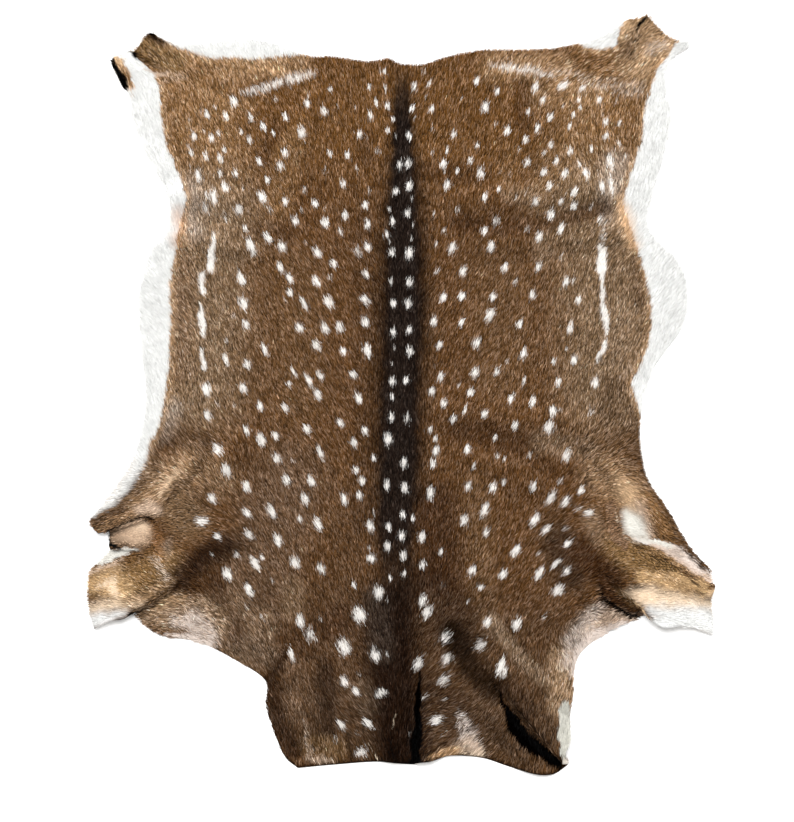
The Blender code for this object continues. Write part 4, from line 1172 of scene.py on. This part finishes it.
def lay_stripe(colour, places, shades):
    """Lays the dark stripe and the shade beside it."""
    rows = STRIPE[::-1]
    middle, half, halo, share, halo_share = (
        np.interp(places[:, 1], [row.y for row in rows], [getattr(row, part) for row in rows])
        for part in ("middle", "half", "halo", "share", "halo_share"))
    away = np.abs(places[:, 0] - middle)
    colour[:] = mix(colour, shades["halo"], halo_share * faded(away / halo, *HALO_FADE))
    colour[:] = mix(colour, shades["stripe"], share * faded(away / half, *STRIPE_FADE))


def lay_margins(colour, places, shades, draw):
    """Lays the white margins, and a tan line where they begin."""
    for margin in MARGINS:
        over, across = (1, 0) if margin.axis == "x" else (0, 1)
        stations, line = np.array(margin.line).T
        station = places[:, over]
        holds = (station > stations[0] - MARGIN_SPARE) & (station < stations[-1] + MARGIN_SPARE)
        beyond = (places[:, across] - np.interp(station, stations, line)) * margin.outward
        tan = TAN_SHARE * holds * faded(np.abs(beyond + TAN_AT), 0.0, TAN_HALF)
        white = holds * smoothstep(beyond / WHITE_EDGE + WHITE_AT_LINE)
        colour[:] = mix(colour, shades["pale tan"], tan)
        colour[:] = mix(colour, shades["belly"], drawn(white, draw))


def spot_shares(places, sway):
    """How white each place is for the spots on it. Sway ruffles their edges."""
    shares = np.zeros(len(places))
    for spots in SPOTS:
        for (x, y), (east, north) in zip(spots.at, hair_headings(np.array(spots.at))):
            size = SMALLER if y > TAIL_FROM or abs(x) < SPINE_HALF else 1.0
            half_length, half_width = 0.5 * size * spots.length, 0.5 * size * spots.width
            near = near_run(places, [(x, y)], half_length + SPOT_REACH)
            local_x, local_y = places[near, 0] - x, places[near, 1] - y
            along = (local_x * east + local_y * north) / half_length
            across = (local_x * north - local_y * east) / half_width
            away = np.hypot(along, across) + SPOT_SWAY * sway[near]
            shares[near] = np.maximum(shares[near], spots.strength * faded(away, *SPOT_FADE))
    return shares


def coat_colours(places, shades, draw, sway):
    """The coat's colour at places in centimetres."""
    colour = np.tile(shades["back"], (len(places), 1))
    ragged = places + RAG * np.column_stack([noise(places, RAG_SIZE, seed) for seed in (11, 12)])
    lay_patches(colour, places, shades)
    lay_stripe(colour, ragged, shades)
    lay_margins(colour, (places + ragged) / 2, shades, draw)
    lay_marks(colour, ragged, shades, draw)
    return mix(colour, shades["spot"], drawn(spot_shares(places, sway), draw))


def new_material(name):
    """A new material, its nodes and its shader."""
    material = bpy.data.materials.new(name)
    material.use_nodes = True
    nodes = material.node_tree.nodes
    return material, nodes, nodes["Principled BSDF"]


def link(source, target):
    """Links one node's output to another's input."""
    source.id_data.links.new(source, target)


def coat_paint(nodes):
    """The colours painted on the mesh."""
    paint_node = nodes.new("ShaderNodeAttribute")
    paint_node.attribute_name = "coat"
    return paint_node


def texture(nodes, scale, detail, roughness=0.6):
    """A noise texture on the object's own coordinates."""
    coordinates = nodes.new("ShaderNodeTexCoord")
    grain = nodes.new("ShaderNodeTexNoise")
    grain.inputs["Scale"].default_value = scale
    grain.inputs["Detail"].default_value = detail
    grain.inputs["Roughness"].default_value = roughness
    link(coordinates.outputs["Object"], grain.inputs["Vector"])
    return grain


def ramp(nodes, grain, target, low_value, high_value, low=0.3, high=0.7):
    """Runs an input from one number to another, as the grain goes from low to high."""
    step = nodes.new("ShaderNodeMapRange")
    names = ("From Min", "From Max", "To Min", "To Max")
    for name, value in zip(names, (low, high, low_value, high_value)):
        step.inputs[name].default_value = value
    link(grain.outputs["Fac"], step.inputs["Value"])
    link(step.outputs["Result"], target)


def toned(nodes, colour, grain, dark, light):
    """Gives the shader a colour that the grain makes darker and lighter."""
    tone = nodes.new("ShaderNodeHueSaturation")
    ramp(nodes, grain, tone.inputs["Value"], dark, light)
    link(colour.outputs["Color"], tone.inputs["Color"])
    link(tone.outputs["Color"], nodes["Principled BSDF"].inputs["Base Color"])


def bumped(nodes, grain, strength, distance):
    """Gives the shader a fine relief from the grain."""
    bump = nodes.new("ShaderNodeBump")
    bump.inputs["Strength"].default_value = strength
    bump.inputs["Distance"].default_value = distance
    link(grain.outputs["Fac"], bump.inputs["Height"])
    link(bump.outputs["Normal"], nodes["Principled BSDF"].inputs["Normal"])


def hair_material():
    """Deer hair: the painted colours, a little uneven. Its sheen is painted into its light tips."""
    material, nodes, shader = new_material("deer hair")
    shader.inputs["Specular IOR Level"].default_value = 0.0
    mottle = texture(nodes, scale=55.0, detail=4.0)
    gloss = texture(nodes, scale=400.0, detail=2.0)
    toned(nodes, coat_paint(nodes), mottle, dark=0.9, light=1.1)
    ramp(nodes, gloss, shader.inputs["Roughness"], 0.42, 0.62)
    return material


def skin_material():
    """The hair side of the skin, seen only between the hairs and at the rim."""
    material, nodes, shader = new_material("hair side of the skin")
    shader.inputs["Specular IOR Level"].default_value = 0.05
    pores = texture(nodes, scale=600.0, detail=3.0)
    toned(nodes, coat_paint(nodes), pores, dark=0.75, light=1.15)
    ramp(nodes, pores, shader.inputs["Roughness"], 0.6, 0.85)
    bumped(nodes, pores, strength=0.3, distance=0.0006)
    return material


def suede_material():
    """The flesh side: pale buffed leather with grey clouds and a fine nap."""
    material, nodes, shader = new_material("suede back")
    shader.inputs["Sheen Weight"].default_value = 0.3
    clouds = texture(nodes, scale=7.0, detail=6.0)
    nap = texture(nodes, scale=420.0, detail=4.0, roughness=0.7)
    colours = nodes.new("ShaderNodeValToRGB")
    shades = (0.32, srgb(176, 166, 152)), (0.7, srgb(222, 214, 200))
    for stop, (position, colour) in zip(colours.color_ramp.elements, shades):
        stop.position = position
        stop.color = (*colour, 1.0)
    link(clouds.outputs["Fac"], colours.inputs["Fac"])
    toned(nodes, colours, nap, dark=0.88, light=1.08)
    ramp(nodes, nap, shader.inputs["Roughness"], 0.8, 0.95)
    bumped(nodes, nap, strength=0.45, distance=0.0008)
    return material


def skin_points(rim, field, inset, net):
    """The skin's flat points: its own rim, rows along each tuck, and an even net over the rest."""
    edge = rim + inset * field.inward(rim + inset * field.inward(rim))
    edge = edge[np.linalg.norm(edge - np.roll(edge, 1, axis=0), axis=1) > LEAST_GAP]
    rows = []
    for tuck in TUCKS:
        start, run, across = tuck_frame(tuck)
        count = round(np.linalg.norm(run) / TUCK_STEP)
        steps, offsets = np.meshgrid(np.arange(-TUCK_OVERRUN, count + 1) / count, TUCK_ROWS)
        rows.append(start + steps.reshape(-1, 1) * run + offsets.reshape(-1, 1) * tuck.half * across)
    rows = np.concatenate(rows)
    low, high = rim.min(axis=0), rim.max(axis=0)
    xs = np.arange(low[0], high[0], net)
    ys = np.arange(low[1], high[1], net * math.sqrt(0.75))
    grid = np.array([(x + 0.5 * net * (j % 2), y) for j, y in enumerate(ys) for x in xs])
    for tuck in TUCKS:
        start, run, across = tuck_frame(tuck)
        length = np.linalg.norm(run)
        along = (grid - start) @ run / length
        clear = (along < -TUCK_OVERRUN * TUCK_STEP - END_CLEAR * net) | (along > length + END_CLEAR * net)
        grid = grid[clear | (np.abs((grid - start) @ across) > tuck.half + SIDE_CLEAR * net)]
    loose = np.concatenate((rows, grid))
    return edge, loose[field(loose) > inset + RIM_CLEAR]


def meshed(edge, loose):
    """The flat skin as points and triangles, all seen from above, from its rim and the points inside it."""
    ring = [(i, (i + 1) % len(edge)) for i in range(len(edge))]
    points = [Vector(point) for point in np.concatenate((edge, loose))]
    flat, _, faces, *_ = delaunay_2d_cdt(points, ring, [], 1, SAME_POINT)
    flat = np.array([tuple(point) for point in flat])
    faces = np.array([face for face in faces if len(face) == 3])
    a, b, c = (flat[faces[:, i]] for i in range(3))
    turn = (b - a)[:, 0] * (c - a)[:, 1] - (b - a)[:, 1] * (c - a)[:, 0]
    return flat, np.where((turn < 0)[:, None], faces[:, ::-1], faces)


def wall_faces(faces, count):
    """The triangles that close a sheet's rim, down to a second layer whose points begin at count."""
    sides = {(face[i], face[j]): True for face in faces for i, j in ((0, 1), (1, 2), (2, 0))}
    start, end = np.array([side for side in sides if side[::-1] not in sides]).T
    return np.concatenate((
        np.column_stack((start, start + count, end)),
        np.column_stack((end, start + count, end + count))))


def build_skin(sizes, colours):
    """The tanned skin: a closed sheet, hair side up, with the flesh side under it."""
    rim, field = hide_field()
    flat, faces = meshed(*skin_points(rim, field, sizes.inset / MM, sizes.net / MM))
    count = len(flat)
    half = sizes.thickness / MM / 2
    middle = laid(flat) + (*centre_shift(), half)
    normals = laid_normals(flat)
    verts = np.concatenate((middle + half * normals, middle - half * normals)) * MM
    skin = new_mesh("skin", verts, np.concatenate((faces, faces[:, ::-1] + count, wall_faces(faces, count))))
    places = middle[:, :2] * MM / CM
    tones = coat_colours(places, palette(colours), draw=np.full(count, 0.5), sway=np.zeros(count))
    # The hair side of the skin is painted dark as the shade between the hairs, less so under pale hair
    tones *= SKIN_SHADE + SKIN_PALE * paleness(tones)[:, None]
    paint(skin, np.concatenate((tones, tones)))
    lay_out(skin, np.concatenate((middle[:, :2], middle[:, :2] + FLESH_SIDE_AT)))
    skin.data.materials.append(skin_material())
    skin.data.materials.append(suede_material())
    sides = np.zeros(len(skin.data.polygons), np.int32)
    sides[len(faces):] = 1
    skin.data.polygons.foreach_set("material_index", sides)
    return skin


def hair_roots(rim, field, count, seed=4):
    """Where the hairs grow on the flat sheet: an uneven net of places."""
    random = np.random.default_rng(seed)
    low, high = rim.min(axis=0), rim.max(axis=0)
    inside = (field.depth > 0).sum() * FIELD_STEP ** 2
    step = math.sqrt(inside / count)
    xs, ys = (np.arange(low[i], high[i], step) for i in range(2))
    places = np.stack(np.meshgrid(xs, ys), axis=-1).reshape(-1, 2)
    places += random.uniform(-ROOT_JITTER, ROOT_JITTER, places.shape) * step
    return places[field(places) > ROOT_INSIDE]


def hair_lengths(places):
    """Each hair's length as a factor of that on the back, for places in centimetres."""
    factor = np.ones(len(places))
    for growth in GROWTHS:
        near = 1.0 - smoothstep(distance_to_run(places, growth.run) / growth.half)
        factor += (growth.factor - factor) * near
    for mark in MARKS:
        # Hair is shorter in the marks of painted black shadow, so that they lie lower
        if mark.colour == "shadow black":
            factor *= 1.0 - GAP_SHORTER * edged(outside_run(places, mark.run), GAP_EDGE)
    return factor


def stray_angles(places, random):
    """How far each hair strays from the lie of the coat, in radians."""
    stray = sum(degrees * noise(places, size, seed) for degrees, size, seed in WAVES)
    stray += random.normal(0.0, HAIR_STRAY, len(places))
    wave = sum(noise(places, size, seed) for size, seed in RUFFLE_WAVES)
    for ruffle in RUFFLES:
        away = np.hypot(places[:, 0] - ruffle.at[0], places[:, 1] - ruffle.at[1])
        stray += ruffle.stray * (1.0 - smoothstep(away / ruffle.radius)) * wave
    return np.radians(stray)


def in_locks(places, headings, size, narrow, seed, side=512, edge=0.1):
    """Which lock each hair belongs to: the lock's middle, and a number of its own from -1 to 1. Narrow is a
    lock's width over its length. A side is how many locks there are before they repeat, and the edge is how
    far a lock's middle keeps from its cell's edge."""
    random = np.random.default_rng(seed)
    offsets = random.uniform(edge, 1.0 - edge, (side, side, 2))
    numbers = random.uniform(-1.0, 1.0, (side, side))
    corner = np.floor(places / size).astype(int)
    nearest = np.full(len(places), np.inf)
    middle = np.zeros_like(places)
    number = np.zeros(len(places))
    for i in range(-2, 3):
        for j in range(-2, 3):
            cell = corner + (i, j)
            column, row = cell[:, 0] % side, cell[:, 1] % side
            spot = (cell + offsets[column, row]) * size
            x, y = (places - spot).T
            along = x * headings[:, 0] + y * headings[:, 1]
            across = x * headings[:, 1] - y * headings[:, 0]
            away = (narrow * along) ** 2 + across ** 2
            closer = away < nearest
            nearest = np.where(closer, away, nearest)
            middle[closer] = spot[closer]
            number[closer] = numbers[column, row][closer]
    return middle, number


def bent_hairs(roots, up, aim, length, lift, pull):
    """The middle and the tip of each hair, which leaves the skin steeply and then lies down."""
    steep = lift[:, None]
    low = LAID_LIFT * steep
    length = length[:, None]
    mid = roots + BEND_AT * length * (aim * np.cos(steep) + up * np.sin(steep)) + BEND_PULL * pull
    tip = mid + (1.0 - BEND_AT) * length * (aim * np.cos(low) + up * np.sin(low)) + (1.0 - BEND_PULL) * pull
    return mid, tip


def trimmed(mid, tip, field, random):
    """Tips that keep inside the outline, but for an uneven millimetre or two."""
    shift = centre_shift()
    spare = random.uniform(0.0, TIP_SPARE, len(mid))
    mid_depth, tip_depth = field(mid[:, :2] - shift), field(tip[:, :2] - shift)
    keep = np.clip((mid_depth + spare) / np.maximum(mid_depth - tip_depth, 0.01), 0.0, 1.0)
    keep = np.where(tip_depth < -spare, keep, 1.0)
    return mid + (tip - mid) * keep[:, None], (mid_depth > -spare) & (keep > LEAST_TIP)


def tone_powers(places, wisp, lock, random):
    """How much lighter or darker each hair is than the coat's colour there, as powers of e."""
    vary = HAIR_VARIES * random.normal(0.0, 1.0, len(places)) + WISP_VARIES * wisp + LOCK_VARIES * lock
    for share, size, seed in CLOUDS:
        vary += share * noise(places, size, seed)
    return vary + VARY_MEAN


def hair_tones(shows, places, heading, lock, growth, shades, random):
    """The colours of each hair's root, middle and tip. Short hair is more even than long hair."""
    count = len(shows)
    rough = np.minimum(growth, 1.0)
    _, wisp = in_locks(places, heading, *WISPS)
    _, taker = in_locks(places, heading, *TAKERS)
    draw = WISP_DRAW * (taker + 1.0) + OWN_DRAW * random.uniform(0.0, 1.0, count)
    tone = coat_colours(shows, shades, draw, sway=random.normal(0.0, 1.0, count))
    pale = paleness(tone)
    vary = np.exp(tone_powers(places, wisp, lock, random) * rough * (1.0 - PALE_EVEN * pale ** 2))
    middle = tone * vary[:, None]
    grey = middle.mean(axis=1)[:, None] * GREY_TINT
    middle = mix(middle, grey, GREYING * smoothstep(vary - 1.0) * (1.0 - pale))
    even = smoothstep(EVENNESS * (1.0 - rough * (1.0 - pale)))
    # Roots are darker, partly as the hair's own base and partly as painted shade deep in the coat
    root = middle * (ROOT_PART + even[:, None] * EVEN_ROOT)
    middle *= (DARK_MIDDLE + (1.0 - DARK_MIDDLE) * pale)[:, None]
    # Tips are lighter, partly their own colour and partly painted sheen
    tip = middle * np.exp(random.normal(*TIP_LIGHT_AND_SHEEN, count) * (1.0 - pale))[:, None]
    frost = smoothstep(random.uniform(*FROST_DRAW, count)) * smoothstep(tone.mean(axis=1) / FROST_WHOLE)
    tip += (frost * (1.0 - pale))[:, None] * FROST
    return [np.clip(part, 0.0, BRIGHTEST) for part in (root, middle, tip)]


def aims(heading, stray, up):
    """Which way each hair points along the skin: the lie of the coat, turned by its stray."""
    east, north = heading.T
    turned = np.column_stack((
        east * np.cos(stray) + north * np.sin(stray),
        north * np.cos(stray) - east * np.sin(stray), np.zeros(len(stray))))
    return unit(turned - up * ((turned * up) @ np.ones(3))[:, None])


def grow_coat(sizes, colours, seed=7):
    """Every hair of the coat: four points for each, their colours, and how far up the hide it grows."""
    random = np.random.default_rng(seed)
    rim, field = hide_field()
    roots = hair_roots(rim, field, sizes.hairs)
    up = laid_normals(roots)
    roots, up = roots[up[:, 2] > LEAST_UP], up[up[:, 2] > LEAST_UP]
    skin = laid(roots) + (*centre_shift(), ROOT_HEIGHT)
    places = skin[:, :2] * MM / CM
    heading = hair_headings(places)
    aim = aims(heading, stray_angles(places, random), up)
    count = len(roots)
    middle, lock = in_locks(places, heading, *LOCKS)
    growth = hair_lengths(places)
    length = sizes.length / MM * growth * random.uniform(*LENGTHS, count)
    uneven = 1.0 + LIFT_SPREAD * random.normal(0.0, 1.0, count) + LOCK_LIFT * lock
    pull = np.zeros((count, 3))
    pull[:, :2] = (middle - places) * CM / MM * LOCK_PULL
    mid, tip = bent_hairs(skin, up, aim, length, np.clip(sizes.lift * uneven, *LIFTS), pull)
    tip, kept = trimmed(mid, tip, field, random)
    roll = random.normal(0.0, ROLL, count)[:, None]
    half_width = sizes.width / MM / 2 * random.uniform(*WIDTHS, count)[:, None]
    blade = (np.cross(aim, up) * np.cos(roll) + up * np.sin(roll)) * half_width
    shows = ((1.0 - COLOUR_AT) * mid + COLOUR_AT * tip)[:, :2] * MM / CM
    shows += random.normal(0.0, COLOUR_SPREAD, (count, 2))
    tones = hair_tones(shows, places, heading, lock, growth, palette(colours), random)
    tones = np.stack([tone[kept] for tone in tones], axis=1)
    verts = np.stack((skin, mid - blade, mid + blade, tip), axis=1)[kept]
    verts[:, :, 2] = np.maximum(verts[:, :, 2], LEAST_HEIGHT)
    return verts * MM, tones[:, (0, 1, 1, 2)], places[kept, 1]


def build_coat(sizes, colours):
    """The coat, as five pieces with the same number of hairs in each."""
    verts, tones, along = grow_coat(sizes, colours)
    count = len(COAT_PIECES)
    bands = np.searchsorted(np.quantile(along, [band / count for band in range(1, count)]), along)
    material = hair_material()
    pieces = []
    for band, name in enumerate(COAT_PIECES):
        mine = bands == band
        points = verts[mine].reshape(-1, 3)
        first = 4 * np.arange(mine.sum())[:, None]
        faces = np.concatenate((first + (0, 1, 2), first + (1, 3, 2)))
        piece = new_mesh(name, points, faces)
        paint(piece, tones[mine].reshape(-1, 3))
        lay_out(piece, points[:, :2])
        piece.data.materials.append(material)
        pieces.append(piece)
    return pieces


def lay_floor(width):
    """The pale floor that the rug lies on."""
    bpy.ops.mesh.primitive_plane_add(size=width, location=(0, 0, 0))
    floor = bpy.context.object
    floor.name = "floor"
    material, _, shader = new_material("pale floor")
    shader.inputs["Base Color"].default_value = FLOOR_COLOUR
    shader.inputs["Roughness"].default_value = FLOOR_ROUGHNESS
    floor.data.materials.append(material)
    return floor


def hang_lamp(scene, power):
    """The large soft lamp overhead, aimed at the middle of the rug."""
    lamp = bpy.data.lights.new("overhead", "AREA")
    lamp.shape = "DISK"
    lamp.size = LAMP_WIDTH
    lamp.energy = power
    holder = bpy.data.objects.new("overhead", lamp)
    holder.location = LAMP_PLACE
    holder.rotation_euler = (-holder.location).to_track_quat("-Z", "Y").to_euler()
    scene.collection.objects.link(holder)


def light_room(scene):
    """The even white light from all round."""
    world = bpy.data.worlds.new("studio")
    world.use_nodes = True
    background = world.node_tree.nodes["Background"]
    background.inputs["Color"].default_value = (1.0, 1.0, 1.0, 1.0)
    background.inputs["Strength"].default_value = ROOM_LIGHT
    scene.world = world
    scene.view_settings.view_transform = "Standard"


def set_camera(scene, height, view):
    """The camera, looking straight down on the rug."""
    lens = bpy.data.cameras.new("camera")
    lens.sensor_width = SENSOR
    lens.lens = SENSOR * height / view
    camera = bpy.data.objects.new("camera", lens)
    shift = centre_shift() * MM
    camera.location = (CAMERA_PLACE[0] + shift[0], CAMERA_PLACE[1] + shift[1], height)
    scene.collection.objects.link(camera)
    scene.camera = camera


class RUG_OT_skin(bpy.types.Operator):
    """Make the tanned skin that the coat grows on"""
    bl_idname = "rug.skin"
    bl_label = "Skin"

    def execute(self, context):
        skin = build_skin(context.scene.rug_skin, context.scene.rug_colours)
        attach(skin, "root")
        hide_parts("hide")
        return {"FINISHED"}


class RUG_OT_coat(bpy.types.Operator):
    """Grow the coat on the skin, in five pieces"""
    bl_idname = "rug.coat"
    bl_label = "Coat"

    def execute(self, context):
        pieces = build_coat(context.scene.rug_coat, context.scene.rug_colours)
        for piece in pieces:
            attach(piece, "root")
        return {"FINISHED"}


class RUG_OT_studio(bpy.types.Operator):
    """Set up the pale floor, the soft light and the camera overhead"""
    bl_idname = "rug.studio"
    bl_label = "Studio"

    def execute(self, context):
        settings = context.scene.rug_studio
        floor = lay_floor(settings.floor)
        hang_lamp(context.scene, settings.light)
        light_room(context.scene)
        set_camera(context.scene, settings.camera_height, settings.view)
        return {"FINISHED"}


class RUG_PT_panel(bpy.types.Panel):
    bl_label = "Deerskin Rug"
    bl_idname = "RUG_PT_panel"
    bl_space_type = "VIEW_3D"
    bl_region_type = "UI"
    bl_category = "Rug"

    def draw(self, context):
        layout = self.layout
        for heading, group, operator in (
                ("Skin", context.scene.rug_skin, RUG_OT_skin),
                ("Coat", context.scene.rug_coat, RUG_OT_coat),
                ("Colours", context.scene.rug_colours, None),
                ("Studio", context.scene.rug_studio, RUG_OT_studio)):
            box = layout.box()
            box.label(text=heading)
            for name in group.__annotations__:
                box.prop(group, name)
            if operator:
                box.operator(operator.bl_idname)


SETTINGS = {
    "rug_skin": SkinSizes, "rug_coat": CoatSizes, "rug_colours": CoatColours, "rug_studio": StudioSettings,
}
CLASSES = (*SETTINGS.values(), RUG_OT_skin, RUG_OT_coat, RUG_OT_studio, RUG_PT_panel)


def register():
    for cls in CLASSES:
        bpy.utils.register_class(cls)
    for name, group in SETTINGS.items():
        setattr(bpy.types.Scene, name, bpy.props.PointerProperty(type=group))


def unregister():
    for name in reversed(SETTINGS):
        delattr(bpy.types.Scene, name)
    for cls in reversed(CLASSES):
        bpy.utils.unregister_class(cls)


def main():
    register()
    bpy.ops.rug.skin()
    bpy.ops.rug.coat()
    bpy.ops.rug.studio()


if __name__ == "__main__":
    main()
